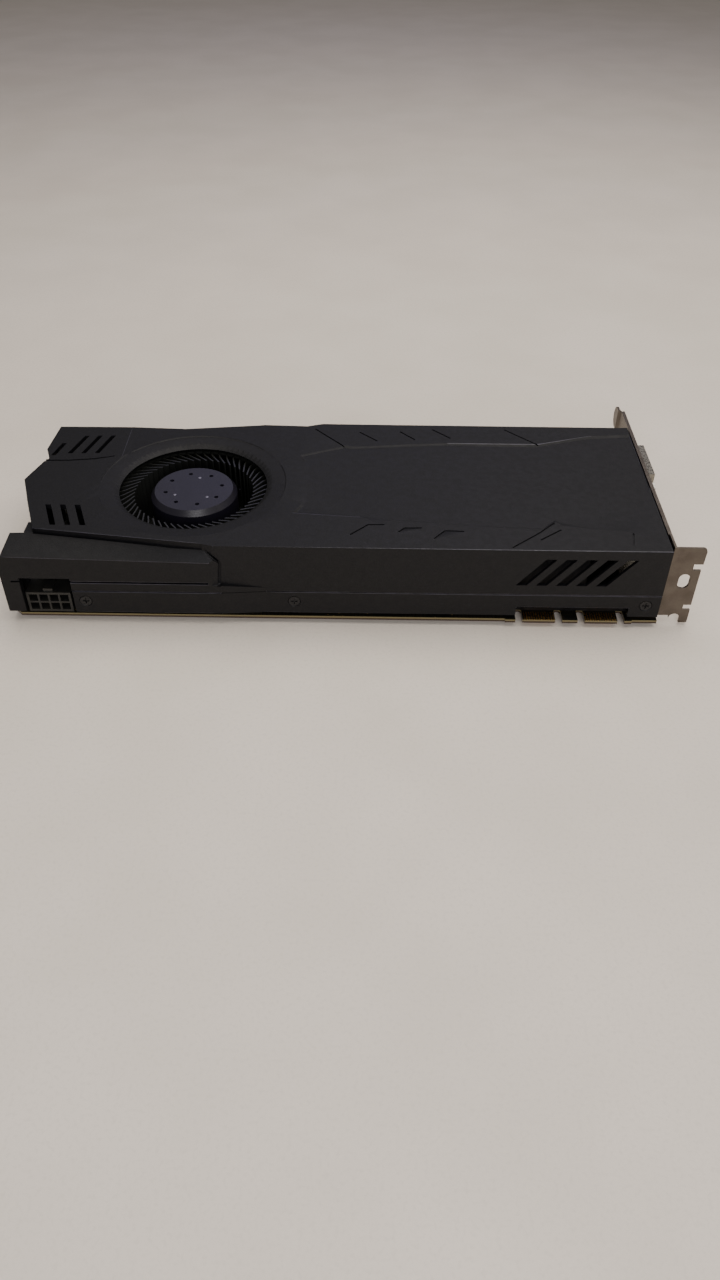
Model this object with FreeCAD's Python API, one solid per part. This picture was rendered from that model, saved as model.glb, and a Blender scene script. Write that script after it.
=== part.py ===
import FreeCAD, Part
import math
import os

# Dual-slot graphics card with a blower cooler, in millimetres.
# The card is laid out in its own frame: x = 0 is the outer face of the bracket and the card
# runs towards -X, y = 0 is the upper edge of the circuit board, z = 0 is the back of the board.
# At the end everything moves so that the origin is the middle of the footprint, at the lowest point.

Vector = FreeCAD.Vector

# ---- overall sizes
card_length = 266.8          # bracket face to the tail of the cover
cover_top = 36.24            # board back to the top of the cover
cover_depth = 96.5           # upper wall to lower wall of the cover
board_thick = 1.57
board_height = 111.15        # upper edge of the board to the tips of the edge contacts
board_body = 103.0           # the same, to the board's edge beside the contacts

# ---- board details
contact_start = 44.5         # bracket face to the first edge contact
contact_length = 89.0
key_from_start = 11.65
key_wide = 1.9
key_deep = 8.0
hook_gap = 3.4
bridge_tab_left = 63.9
bridge_tab_right = 12.0
screw_hole_r = 1.4
pin_hole_r = 0.55
pin_half = 0.3
peg_r = 1.3

# ---- cover
wall = 1.6
top_wall = 2.2
cover_gap = 1.9              # bracket face to the end of the cover
skirt_bottom = 3.4
seam_z = 14.2                # joint between the cover and its side rails
recess_depth = 0.7
rim_width = 1.3              # how far the rim of the sunk panel slopes
line_width = 0.7
line_depth = 0.5
tab_half = 4.0               # tabs that reach down behind the rails
tab_thick = 1.3
tab_low = 5.8
vent_count = 5
vent_pitch = 7.97
vent_width = 4.3
vent_lean = 10.7
vent_low = 18.9
vent_high = 31.8
vent_first = 61.4            # bracket face to the lowest corner of the first vent

# ---- power block: the raised corner over the power socket
proud = 1.5                  # how far the block stands out of the upper wall
block_end = 179.0            # bracket face to the end of the block
block_back = 17.5
block_corner_y = 10.4        # the tail corner of the block is cut back to here
block_corner_x = 9.2         # the same, from the tail
channel_wide = 1.3           # dark channel between the block's nose and the wall
channel_deep = 1.1
block_top = 34.2
block_crease_tail = 30.9
block_crease_end = 29.1
ledge_end = 161.2
groove_z = 18.2
groove_high = 0.8

# ---- blower
fan_from_tail = 72.15
fan_y = 45.2
inlet_r = 31.0
dish_r = 34.6
dish_depth = 2.0
ring_r = 39.2
ring_depth = 0.5
panel_arc_r = 50.0
scroll_r = 37.2
hub_r = 18.2
hub_flat_r = 16.5
hub_below_top = 3.0
hub_bevel = 2.2
hub_wall = 1.1
hub_holes = 8
hub_hole_r = 0.9
hub_hole_circle = 11.9
hub_hole_angle = 14.0
blade_count = 55
blade_inner_r = 25.0
blade_outer_r = 34.0
blade_thick = 0.6
blade_sweep = 13.0           # degrees that a blade's outer edge trails its inner edge
blade_below_top = 4.2
disc_thick = 1.2
disc_lift = 2.2              # running gap between the rotor disc and the fan frame
shaft_r = 1.5
shaft_running_gap = 0.02
sleeve_wall = 1.6
yoke_wall = 0.8
magnet_thick = 2.0
air_gap = 0.5
stator_teeth = 6
fan_frame_thick = 1.8
fan_frame_r = 35.6
fan_screws = 3
lead_r = 1.1

# ---- cooler
memory_high = 1.2
pad_thick = 1.0
base_plate_thick = 1.8
substrate_high = 1.5
die_high = 0.8
base_copper_thick = 3.5
fin_count = 38
fin_pitch = 1.9
fin_thick = 0.4
fin_start_y = 12.5
fin_clear_top = 0.6
fin_from_bracket = 30.0
fin_from_fan = 48.0
chip_from_bracket = 92.0     # bracket face to the centre of the graphics chip
chip_y = 50.0
chip_side = 38.0
die_side = 19.5

# ---- bracket
bracket_thick = 0.9
bracket_low = 2.4            # how far the bracket hangs below the board's back
bracket_shoulder_y = 112.2
bracket_tip_y = 122.7
flange_y = 2.64
flange_reach = 11.8
flange_lobe = 0.3            # how much further the upper corner of the flange reaches
slot_pitch = 20.32           # one expansion slot
lip_depth = 0.6
slot_x = 5.95                # middle of the case screw slots, outside the bracket
slot_half = 2.25
slot_tall = 7.1
slot_low = 16.4
tongue_low = 24.6            # board back to the lower side of the upper tongue
tongue_high = 34.8
tongue_set_back = 1.1

# ---- display sockets
dvi_y = 76.7
dvi_low_z = 8.0
dvi_pitch = 19.05
dvi_wide = 25.0
dvi_high = 8.8
dvi_reach = 5.2
dvi_screw_pitch = 33.32
jack_hex = 4.8
jack_reach = 4.6
jack_bore_r = 1.2
hdmi_y = 46.0
hdmi_wide = 15.0
hdmi_high = 5.6
port_y = 24.0
port_wide = 16.8
port_high = 5.8
socket_z = 5.6
socket_depth = 14.0
shell_thick = 0.4
socket_reach = 0.8

# ---- power socket
power_left = 258.9           # bracket face to the far side of the power socket
power_pitch = 4.2
power_columns = 4
power_wide = 18.1
power_high = 9.7
power_low = 2.3
power_deep = 13.0
window_left = 259.6
window_right = 239.3
window_top = 20.3
side_screw_x = [234.5, 150.2, 7.7]
side_screw_z = 9.1
side_screw_r = 1.5
side_head_r = 2.35
bridge_slots = [58.15, 41.85, 32.65, 16.35]
bridge_slot_wide = 2.9
bridge_slot_deep = 6.4
bridge_pad_long = 13.4
bridge_tab = 0.6
contact_thick = 0.05
fit_gap = 0.3                # clearance left round a piece that sits in a hole
seat_gap = 0.1               # clearance where one piece is pushed onto another

# ---- values that follow from the sizes above
tail = -card_length
fan_x = tail + fan_from_tail
board_left = tail + 0.1
board_right = -1.6
cover_right = -cover_gap
cover_under = cover_top - top_wall
plate_low = board_thick + memory_high + pad_thick
plate_high = plate_low + base_plate_thick
substrate_top = board_thick + substrate_high
die_top = substrate_top + die_high
chip_x = -chip_from_bracket
copper_low = plate_high + fit_gap
copper_high = copper_low + base_copper_thick
fan_base = plate_high
lead_z = fan_base + 0.3 + lead_r
key_bottom_y = board_height - key_deep
fan_floor = fan_base + fan_frame_thick
disc_low = fan_floor + disc_lift
blade_low = disc_low + disc_thick
blade_high = cover_top - blade_below_top
hub_top = cover_top - hub_below_top
origin = Vector(
    (board_left + flange_reach + flange_lobe) / 2,
    (bracket_tip_y - proud) / 2,
    -bracket_low,
)


# ---- small makers
def box(x0, x1, y0, y1, z0, z1):
    return Part.makeBox(x1 - x0, y1 - y0, z1 - z0, Vector(x0, y0, z0))


def polygon(points):
    return Part.Wire(Part.makePolygon(points + [points[0]]))


def plan(points, z0, z1):
    """A plan outline of (x, y) points, raised from z0 to z1."""
    face = Part.Face(polygon([Vector(x, y, z0) for x, y in points]))
    return face.extrude(Vector(0, 0, z1 - z0))


def elevation(points, y0, y1):
    """A front outline of (x, z) points, carried from y0 to y1."""
    face = Part.Face(polygon([Vector(x, y0, z) for x, z in points]))
    return face.extrude(Vector(0, y1 - y0, 0))


def section(points, x0, x1):
    """An end outline of (y, z) points, carried from x0 to x1."""
    face = Part.Face(polygon([Vector(x0, y, z) for y, z in points]))
    return face.extrude(Vector(x1 - x0, 0, 0))


def post(x, y, z0, z1, r):
    return Part.makeCylinder(r, z1 - z0, Vector(x, y, z0))


def rod_y(x, z, y0, y1, r):
    return Part.makeCylinder(r, y1 - y0, Vector(x, y0, z), Vector(0, 1, 0))


def rod_x(y, z, x0, x1, r):
    return Part.makeCylinder(r, x1 - x0, Vector(x0, y, z), Vector(1, 0, 0))


def ring(x, y, z0, z1, r_out, r_in):
    return post(x, y, z0, z1, r_out).cut(post(x, y, z0, z1, r_in))


def join(shapes):
    return shapes[0].multiFuse(shapes[1:]).removeSplitter()


def hexagon_x(y, z, x0, x1, across):
    r = across / math.sqrt(3)
    corners = [math.radians(60 * k + 30) for k in range(6)]
    return section([(y + r * math.cos(a), z + r * math.sin(a)) for a in corners], x0, x1)


def oblong_y(x, z_low, z_high, half, y0, y1):
    """A slot with round ends, standing along z and cut through along y."""
    middle = box(x - half, x + half, y0, y1, z_low + half, z_high - half)
    ends = [rod_y(x, z, y0, y1, half) for z in (z_low + half, z_high - half)]
    return join([middle] + ends)


def turned(shape, angle, x, y):
    copy = shape.copy()
    copy.rotate(Vector(x, y, 0), Vector(0, 0, 1), angle)
    return copy


def line_cut(points, z_top, width=line_width, depth=line_depth):
    """A shallow line pressed into a face, along straight runs between (x, y) points."""
    runs = []
    for (x0, y0), (x1, y1) in zip(points, points[1:]):
        long = math.hypot(x1 - x0, y1 - y0)
        run = box(0, long, -width / 2, width / 2, z_top - depth, z_top + 1)
        run.rotate(Vector(0, 0, 0), Vector(0, 0, 1), math.degrees(math.atan2(y1 - y0, x1 - x0)))
        run.translate(Vector(x0, y0, 0))
        runs.append(run)
        runs.append(post(x1, y1, z_top - depth, z_top + 1, width / 2))
    return join(runs)


def d_outline(y, z, wide, high, slope=1.6):
    """The five-sided outline of a D-shaped socket, wide side up."""
    half = wide / 2
    return [
        (y - half, z + high / 2),
        (y + half, z + high / 2),
        (y + half, z - high / 2 + slope),
        (y + half - slope, z - high / 2),
        (y - half + slope, z - high / 2),
        (y - half, z - high / 2 + slope),
    ]


# ---- circuit board
def circuit_board():
    tab = -contact_start
    hook = tab - contact_length
    outline = [
        (board_right, 0),
        (board_right, board_body),
        (tab, board_body),
        (tab, board_height - 1),
        (tab - 1, board_height),
        (tab - key_from_start, board_height),
        (tab - key_from_start, key_bottom_y),
        (tab - key_from_start - key_wide, key_bottom_y),
        (tab - key_from_start - key_wide, board_height),
        (hook + 1, board_height),
        (hook, board_height - 1),
        (hook, board_body),
        (hook - hook_gap, board_body),
        (hook - hook_gap, board_height - 3),
        (hook - hook_gap - 3.2, board_height - 3),
        (hook - hook_gap - 5.5, board_body),
        (board_left, board_body),
        (board_left, 4.0),
        (board_left + 4.0, 0),
    ]
    board = plan(outline, 0, board_thick)
    tab_right = -bridge_tab_right
    board = board.fuse(box(-bridge_tab_left, tab_right, -bridge_tab, 2.0, 0, board_thick))
    cuts = []
    for x in bridge_slots:
        half = bridge_slot_wide / 2
        cuts.append(box(-x - half, -x + half, -2, bridge_slot_deep - half, -1, board_thick + 1))
        cuts.append(post(-x, bridge_slot_deep - half, -1, board_thick + 1, half))
    for x, y in plate_screws() + chip_screws():
        cuts.append(post(x, y, -1, board_thick + 1, screw_hole_r))
    for x, y in power_pin_places() + dvi_pin_places():
        cuts.append(post(x, y, -1, board_thick + 1, pin_hole_r))
    for x, y in power_peg_places():
        cuts.append(post(x, y, -1, board_thick + 1, peg_r + seat_gap))
    return board.removeSplitter().cut(Part.makeCompound(cuts))


def plate_screws():
    """Screws that hold the base plate to the board, from the back."""
    left = tail + 16
    middle = (left - 18) / 2
    upper = 7.5
    lower = cover_depth - 10.0
    return [
        (left + 24, upper),
        (middle, upper),
        (-70.0, upper),
        (left, lower),
        (middle + 2, lower),
        (middle + 64, lower),
        (left, 50.0),
    ]


def chip_screws():
    """Four sprung screws that pull the cooler down onto the chip."""
    reach = chip_side / 2 + 7.5
    return [(chip_x + i * reach, chip_y + j * reach) for i in (-1, 1) for j in (-1, 1)]


def power_peg_places():
    """Two plastic pegs that steady the power socket in the board."""
    return [(-power_left + 1.6, power_deep + 4.6), (-power_left + power_wide - 1.6, power_deep + 4.6)]


def power_pin_places():
    """Power pins in two rows, where they pass through the board."""
    first = -power_left + power_wide / 2 - power_pitch * (power_columns - 1) / 2
    rows = [power_deep + 2.5, power_deep + 6.7]
    return [(first + power_pitch * k, y) for y in rows for k in range(power_columns)]


def dvi_pin_places():
    rows = [-10.0, -12.5, -15.0]
    return [(x, dvi_y + 2.5 * (k - 3.5)) for x in rows for k in range(8)]


def edge_contacts():
    """Gold pads on both faces of the tab that goes into the motherboard."""
    tab = -contact_start
    y0 = board_height - 5.6
    y1 = board_height - 0.9
    spans = [
        (tab - key_from_start + 0.6, tab - 0.6),
        (tab - contact_length + 0.6, tab - key_from_start - key_wide - 0.6),
    ]
    pads = []
    for x0, x1 in spans:
        pads.append(box(x0, x1, y0, y1, board_thick, board_thick + contact_thick))
        pads.append(box(x0, x1, y0, y1, -contact_thick, 0))
    return Part.makeCompound(pads)


def bridge_contacts():
    """Gold pads on both faces of the two bridge tabs."""
    half = bridge_slot_wide / 2
    pads = []
    for x0 in (-bridge_slots[0] + half, -bridge_slots[2] + half):
        x1 = x0 + bridge_pad_long
        pads.append(box(x0 + 0.3, x1 - 0.3, -bridge_tab, 4.6, board_thick, board_thick + contact_thick))
        pads.append(box(x0 + 0.3, x1 - 0.3, -bridge_tab, 4.6, -contact_thick, 0))
    return Part.makeCompound(pads)


# ---- parts soldered to the board
def chip_substrate():
    half = chip_side / 2
    plate = box(chip_x - half, chip_x + half, chip_y - half, chip_y + half, board_thick, substrate_top)
    return plate.cut(turned(box(-2, 2, -2, 2, board_thick - 1, substrate_top + 1), 45, 0, 0)
                     .translated(Vector(chip_x - half, chip_y - half, 0)))


def chip_die():
    half = die_side / 2
    return box(chip_x - half, chip_x + half, chip_y - half, chip_y + half, substrate_top, die_top)


def memory_places():
    """Eight memory chips round three sides of the graphics chip."""
    reach = chip_side / 2 + 13.5
    sides = [(-reach, dy) for dy in (-16, 0, 16)] + [(reach, dy) for dy in (-16, 0, 16)]
    upper = [(dx, reach) for dx in (-9.5, 9.5)]
    return [(chip_x + dx, chip_y + dy) for dx, dy in sides + upper]


def memory_half(place):
    beside = abs(place[0] - chip_x) > chip_side / 2 + 8
    return (6.0, 7.0) if beside else (7.0, 6.0)


def blocks(places, half, z0, z1):
    """Like blocks standing at each place; half is one pair, or a function of the place."""
    made = []
    for place in places:
        hx, hy = half(place) if callable(half) else half
        x, y = place
        made.append(box(x - hx, x + hx, y - hy, y + hy, z0, z1))
    return Part.makeCompound(made)


def choke_places():
    first = -fin_from_bracket - fan_gap_x() + 4
    return [(first - 9.0 * k, cover_depth - 11.0) for k in range(6)]


def fan_gap_x():
    """From the bracket end of the fins to their fan end."""
    return card_length - fan_from_tail - fin_from_fan - fin_from_bracket


def tail_choke_places():
    return [(tail + 14.5 + 7.2 * k, 29.5) for k in range(3)]


def tail_capacitor_places():
    return [(tail + 12.5 + 7.0 * k, 38.5) for k in range(3)]


def mosfet_places():
    return [(x, y - 8.6) for x, y in choke_places()]


def capacitor_places():
    return [(x - 1.5, board_body - 3.6) for x, _ in choke_places()]


def capacitors():
    cans = []
    for x, y in tail_capacitor_places():
        foot = box(x - 2.8, x + 2.8, y - 2.8, y + 2.8, board_thick, board_thick + 0.6)
        can = post(x, y, board_thick + 0.6, board_thick + 6.4, 2.6)
        cans.append(foot.fuse(can))
    return Part.makeCompound(cans)


def small_chips():
    """Power controller, firmware memory and the clock crystal, lying flat on the board."""
    row_y = 13.5
    controller = box(-128, -121, row_y - 3.5, row_y + 3.5, board_thick, board_thick + 0.9)
    firmware = box(-112, -107, row_y - 2, row_y + 2, board_thick, board_thick + 1.6)
    crystal = box(-45.0, -41.8, 20.0, 22.5, board_thick, board_thick + 0.8)
    return Part.makeCompound([controller, firmware, crystal])


# ---- power socket
def power_housing():
    x0 = -power_left
    x1 = x0 + power_wide
    body = box(x0, x1, 0, power_deep, power_low, power_low + power_high)
    latch_mid = (x0 + x1) / 2
    latch = box(latch_mid - 1.9, latch_mid + 1.9, 0.6, 6.5, power_low + power_high,
                power_low + power_high + 1.5)
    feet = box(x0 + 1, x1 - 1, power_deep, power_deep + 9.5, power_low, power_low + power_high - 1.2)
    peg_z = power_low + 1
    pegs = [post(x, y, -bracket_low, peg_z, peg_r) for x, y in power_peg_places()]
    stand = box(x0 + 1, x1 - 1, power_deep - 3, power_deep + 9.5, board_thick, power_low + 0.5)
    cavities = []
    for x, z in power_cavities():
        cavities.append(box(x - 1.7, x + 1.7, -1, power_deep - 1.6, z - 1.7, z + 1.7))
    for x, y in power_pin_places():
        cavities.append(post(x, y, board_thick - 1, power_low + power_high, pin_hole_r))
    for x, z in power_cavities():
        cavities.append(rod_y(x, z, power_deep - 2, power_deep + 9.6, pin_hole_r))
    return join([body, latch, feet, stand] + pegs).cut(Part.makeCompound(cavities))


def power_cavities():
    first = -power_left + power_wide / 2 - power_pitch * (power_columns - 1) / 2
    low_row = power_low + power_high / 2 - power_pitch / 2
    return [(first + power_pitch * k, low_row + power_pitch * j) for j in (0,
                                                                           1) for k in range(power_columns)]


def power_pins():
    """Right-angled pins: along the cavity, then down through the board."""
    pins = []
    for (x, z), (_, y_down) in zip(power_cavities(), power_pin_places()):
        along = box(x - pin_half, x + pin_half, 3.0, y_down + pin_half, z - pin_half, z + pin_half)
        down = box(x - pin_half, x + pin_half, y_down - pin_half, y_down + pin_half, -1.6, z + pin_half)
        pins.append(join([along, down]))
    return Part.makeCompound(pins)


# ---- cover
def cover_outline():
    """Plan outline of the cover, from its bracket end round by the tail."""
    far = cover_depth
    return [
        (cover_right, 0),
        (-block_end - 2, 0),
        (-block_end - 7.2, 1.5),
        (tail + 13.0, 10.5),
        (tail + 6.4, 28.7),
        (tail + 0.5, 46.1),
        (tail + 5.6, 62.0),
        (tail + 6.2, 64.9),
        (tail + 3.4, 72.6),
        (tail + 4.8, far - 3.8),
        (tail + 61.5, far - 6.1),
        (tail + 97.8, far - 1.6),
        (tail + 117.8, far - 2.3),
        (tail + 124.8, far),
        (cover_right, far),
    ]


def cover_inside():
    """The room inside the cover's walls, up to the underside of its top."""
    wire = polygon([Vector(x, y, skirt_bottom - 1) for x, y in cover_outline()])
    return Part.Face(wire.makeOffset2D(-wall, 2)).extrude(Vector(0, 0, cover_under - skirt_bottom + 1))


def cover_shell():
    outer = plan(cover_outline(), skirt_bottom, cover_top)
    inner = cover_inside()
    open_end = box(cover_right - 3, 2, wall, cover_depth - wall, skirt_bottom - 1, cover_under)
    return outer.cut(inner).cut(open_end)


def block_profile(x, crease_z, back_y, inset):
    """One end section of the power block, as a closed wire in the y-z plane."""
    front = -proud + inset
    return polygon([
        Vector(x, front, skirt_bottom - (1 if inset else 0)),
        Vector(x, front, crease_z - inset),
        Vector(x, back_y, block_top - inset),
        Vector(x, block_back + 5 - inset, block_top - inset),
        Vector(x, block_back + 5 - inset, skirt_bottom - (1 if inset else 0)),
    ])


def block_solid(inset):
    x_tail = tail + 0.1 + inset
    x_end = -block_end - inset
    ends = [
        block_profile(x_tail, block_crease_tail, 12.0, inset),
        block_profile(x_end, block_crease_end - 0.2, 1.2, inset),
    ]
    return Part.makeLoft(ends, True, True)


def power_block():
    """The raised corner over the power socket, hollow behind its wall."""
    step_x = tail + block_corner_x
    walls = [
        box(tail + 0.1, step_x + wall, block_corner_y - wall, block_corner_y, skirt_bottom, block_top),
        box(step_x, step_x + wall, block_corner_y - wall, block_back, skirt_bottom, block_top),
        box(step_x, tail + 14, block_back - wall, block_back, skirt_bottom, block_top),
    ]
    walls = join(walls).common(block_solid(0))
    shell = block_solid(0).cut(block_solid(wall)).fuse(walls)
    far = 60
    corner = elevation([(tail - 5, 24.0), (tail + 1.8, 30.2), (tail + 6.6, 40), (tail - 5, 40)], -5, far)
    corner_floor = elevation([(tail - 5, 24.0), (tail + 0.1, 24.0), (tail + 1.8, 30.2), (tail - 5, 30.2)],
                             -5, far)
    nose = elevation([(-block_end - 7, 40), (-block_end - 7, block_top), (-block_end + 0.3, 27.4),
                      (-block_end - 0.5, 17.7), (-block_end + 8, 17.7), (-block_end + 8, 40)], -5, far)
    bevel = plan([(-block_end - 4, -proud), (-block_end, 0), (-block_end + 4, 0), (-block_end + 4, -5),
                  (-block_end - 4, -5)], 17.7, 40)
    back = box(tail - 1, tail + 14, block_back, far, 0, 40)
    step = box(tail - 1, step_x, block_corner_y, far, 0, 40)
    return shell.cut(Part.makeCompound([corner, corner_floor, nose, bevel, back, step])).cut(cover_inside())


def nose_channel():
    """The channel that runs down round the block's nose, cut into the wall."""
    outer = [(-block_end - 7.2, cover_top + 0.6), (-block_end + 0.8, 28.5), (-block_end - 0.2, 17.3)]
    inner = [(x - channel_wide, z) for x, z in reversed(outer)]
    return elevation(outer + inner, -proud - 1, channel_deep)


def band():
    """The proud band under the power block, fading into the wall at its end."""
    x0 = tail + 0.1
    outline = [
        (x0, 3), (x0, -proud), (-block_end - 0.5, -proud), (-ledge_end, 0), (-ledge_end,
                                                                             wall), (x0 + wall, wall),
        (x0 + wall, 3),
    ]
    whole = plan(outline, skirt_bottom, groove_z - 0.3)
    slope = elevation([(-block_end - 0.5, 17.7), (-ledge_end + 1, 16.0), (-ledge_end + 1, 40),
                       (-block_end - 0.5, 40)], -5, 0)
    return whole.cut(slope)


def side_vents():
    cuts = []
    for k in range(vent_count):
        x = -vent_first + vent_pitch * k
        cuts.append(elevation([
            (x, vent_low), (x + vent_width, vent_low),
            (x + vent_width + vent_lean, vent_high), (x + vent_lean, vent_high),
        ], -2, wall + 1))
    return cuts


def tail_slots():
    """Short louvres in the cover's top near the tail."""
    cuts = []
    for k in range(3):
        x = tail + 14.0 + 6.0 * k
        cuts.append(plan([(x, 27.4), (x + 2.3, 27.4), (x + 7.6, 13.0), (x + 5.3, 13.0)], cover_under - 3,
                         cover_top + 1))
    for k in range(3):
        x = tail + 13.4 + 6.0 * k
        cuts.append(plan([(x, 68.8), (x + 2.0, 68.8), (x + 6.5, 84.0), (x + 4.5, 84.0)], cover_under - 3,
                         cover_top + 1))
    x = tail + 6.4
    cuts.append(plan([(x, 67.3), (x + 2.0, 67.3), (x + 4.6, 77.8), (x + 2.6, 77.8)], cover_under - 3,
                     cover_top + 1))
    for k in range(3):
        y = 67.5 + 7.0 * k
        cuts.append(box(tail - 2, tail + 12, y, y + 3.4, 8.0, 31.5))
    return cuts


def centre_panel():
    """Outline of the sunk panel over the fins: a curve beside the fan, then a broken line."""
    beside_fan = [
        (-149.6, 68.6), (-147.3, 63.2), (-145.8, 57.4), (-145.1, 51.0), (-145.0, 44.5), (-145.4, 37.8),
        (-146.6, 30.5), (-149.3, 24.7),
    ]
    near = [
        (-124.0, 22.6), (-110.1, 20.7), (-87.1, 17.9), (-66.3, 16.3), (-50.6, 15.6), (-45.0, 21.8),
        (-42.4, 18.2), (-32.2, 16.4), (-15.6, 14.4), (-9.7, 29.9), (-4.8, 40.3),
    ]
    end = [(cover_right - 0.6, 48.0), (cover_right - 0.6, cover_depth - 7.6)]
    far = [(-19.8, 87.2), (-45.2, 79.2), (-85.2, 79.2), (-104.2, 77.6), (-126.5, 75.1), (-131.3, 76.1)]
    return beside_fan + near + end + far


def panel_cut():
    """The sunk panel with its sloped rim."""
    low = polygon([Vector(x, y, cover_top - recess_depth) for x, y in centre_panel()])
    high = low.makeOffset2D(rim_width, 2)
    high.translate(Vector(0, 0, recess_depth + 0.01))
    return Part.makeLoft([low, high], True, True)


def gill_lines():
    far = [
        [(-145.2, 91.9), (-131.3, 76.1)],
        [(-124.9, 89.4), (-117.0, 81.8)],
        [(-106.6, 90.4), (-100.1, 83.4)],
        [(-91.8, 92.6), (-84.0, 85.0)],
        [(-58.7, 93.1), (-45.0, 80.0)],
    ]
    near = [
        [(-127.7, 8.8), (-120.6, 15.9), (-114.4, 16.1)],
        [(-108.6, 11.1), (-105.9, 13.9), (-99.5, 14.1)],
        [(-94.5, 6.9), (-90.0, 12.4), (-82.8, 12.1)],
        [(-64.2, 1.5), (-52.7, 11.5), (-46.0, 18.4)],
        [(-52.7, 6.8), (-43.9, 13.8)],
        [(-15.3, 12.3), (-16.8, 4.5)],
    ]
    return far + near


def ledge_line():
    return [(tail + 4.0, 61.6), (tail + 15.7, 61.9), (tail + 26.8, 63.5), (tail + 34.6, 66.0)]


def tail_ledge():
    """The tilted low panel at the tail, deepest at its outer corner."""
    x0 = tail - 2
    x1 = tail + 38.0
    profile = polygon([Vector(x0, 61.6, cover_top + 1), Vector(x0, 61.6, cover_top - 1.1),
                       Vector(x0, cover_depth + 1, cover_top - 1.1), Vector(x0, cover_depth + 1, cover_top + 1)])
    end = polygon([Vector(x1, 66.2, cover_top + 1), Vector(x1, 66.2, cover_top - 0.02),
                   Vector(x1, cover_depth + 1, cover_top - 0.02), Vector(x1, cover_depth + 1, cover_top + 1)])
    return Part.makeLoft([profile, end], True, True)


def inlet_cuts():
    """Inlet hole, its bevelled dish, and the shallow ring round it."""
    hole = post(fan_x, fan_y, cover_under - 2, cover_top + 1, inlet_r)
    dish = Part.makeCone(inlet_r, dish_r, dish_depth, Vector(fan_x, fan_y, cover_top - dish_depth))
    shallow = Part.makeCone(ring_r - ring_depth, ring_r, ring_depth, Vector(fan_x, fan_y,
                                                                            cover_top - ring_depth))
    shallow_top = post(fan_x, fan_y, cover_top, cover_top + 1, ring_r)
    return [hole, dish, shallow, shallow_top]


def scroll_wall():
    """The wall that guides air round the fan and opens towards the fins."""
    tall = ring(fan_x, fan_y, plate_high + seat_gap, cover_under + 0.2, scroll_r + wall, scroll_r)
    lead_way = box(lead_x() - 3, lead_x() + 12, 2, 12, 0, lead_z + lead_r + 0.8)
    mouth = plan([(fan_x, fan_y + scroll_r + 6), (fan_x + 8, fan_y), (fan_x, fan_y - scroll_r - 6),
                  (fan_x + 60, fan_y - scroll_r - 6), (fan_x + 60, fan_y + scroll_r + 6)], 0, cover_top)
    return tall.cut(mouth).cut(lead_way)


def cover():
    shell = join([cover_shell(), power_block(), band(), scroll_wall()])
    window = box(-window_left, -window_right, -5, wall + 3, 0, window_top)
    groove = box(tail + 3.8, -block_end - 5, -3, -proud + 0.9, groove_z, groove_z + groove_high)
    step = line_cut([(tail + 13.0, 10.5), (-block_end - 7.2, 1.5)], block_top + 0.9, 1.2, 2.0)
    front_rail_bay = box(-window_right, 2, -5, wall + 0.01, 0, seam_z)
    rear_rail_bay = box(rail_rear_left(), 2, cover_depth - wall - 0.01, cover_depth + 5, 0, seam_z)
    socket_room = box(-power_left - 0.8, -power_left + power_wide + 0.8, wall, power_deep + 10.5, 0,
                      power_low + power_high + 2.2)
    sockets_room = box(-socket_depth - 4.5, 2, dvi_y - dvi_half() - 0.4, cover_depth + 5, 0,
                       dvi_top() + 0.4)
    plate_room = box(tail + 15, -block_end - 1, wall + 0.01, block_back, 0, plate_high + 0.2)
    lug_room = box(-side_screw_x[0] - 4.5, -side_screw_x[0] + 4.5, wall + 0.01, wall + 7.2, 0,
                   side_screw_z + 3.6)
    bays = [window, groove, step, nose_channel(), front_rail_bay, rear_rail_bay, socket_room,
            sockets_room, plate_room, lug_room,
            tail_ledge()]
    cuts = side_vents() + tail_slots() + inlet_cuts()
    cuts.append(panel_cut())
    cuts += [line_cut(points, cover_top) for points in gill_lines()]
    cuts.append(line_cut(ledge_line(), cover_top, 0.9, 0.7))
    shell = shell.cut(Part.makeCompound(bays)).cut(Part.makeCompound(cuts))
    return join([shell] + cover_tabs()).cut(Part.makeCompound(tab_holes()))


def cover_tabs():
    """Tabs that reach down behind the rails and share their screws."""
    tabs = []
    for x in side_screw_x:
        tabs.append(box(-x - tab_half, -x + tab_half, wall, wall + tab_thick, tab_low, seam_z + 5))
        tabs.append(box(-x - tab_half, -x + tab_half, 0, wall + tab_thick, seam_z, seam_z + 5))
    for x in rear_screw_x():
        inner = cover_depth - wall
        tabs.append(box(x - tab_half, x + tab_half, inner - tab_thick, inner, tab_low, seam_z + 5))
        tabs.append(box(x - tab_half, x + tab_half, inner - tab_thick, cover_depth - 0.1, seam_z,
                        seam_z + 5))
    return tabs


def tab_holes():
    holes = [rod_y(-x, side_screw_z, wall - 0.5, wall + tab_thick + 1,
                   side_screw_r + 0.1) for x in side_screw_x]
    inner = cover_depth - wall
    holes += [rod_y(x, side_screw_z, inner - tab_thick - 1, inner + 0.5,
                    side_screw_r + 0.1) for x in rear_screw_x()]
    return holes


def rail_rear_left():
    return tail + 126.0


def rail_rear_right():
    return -socket_depth - 5.0


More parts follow.
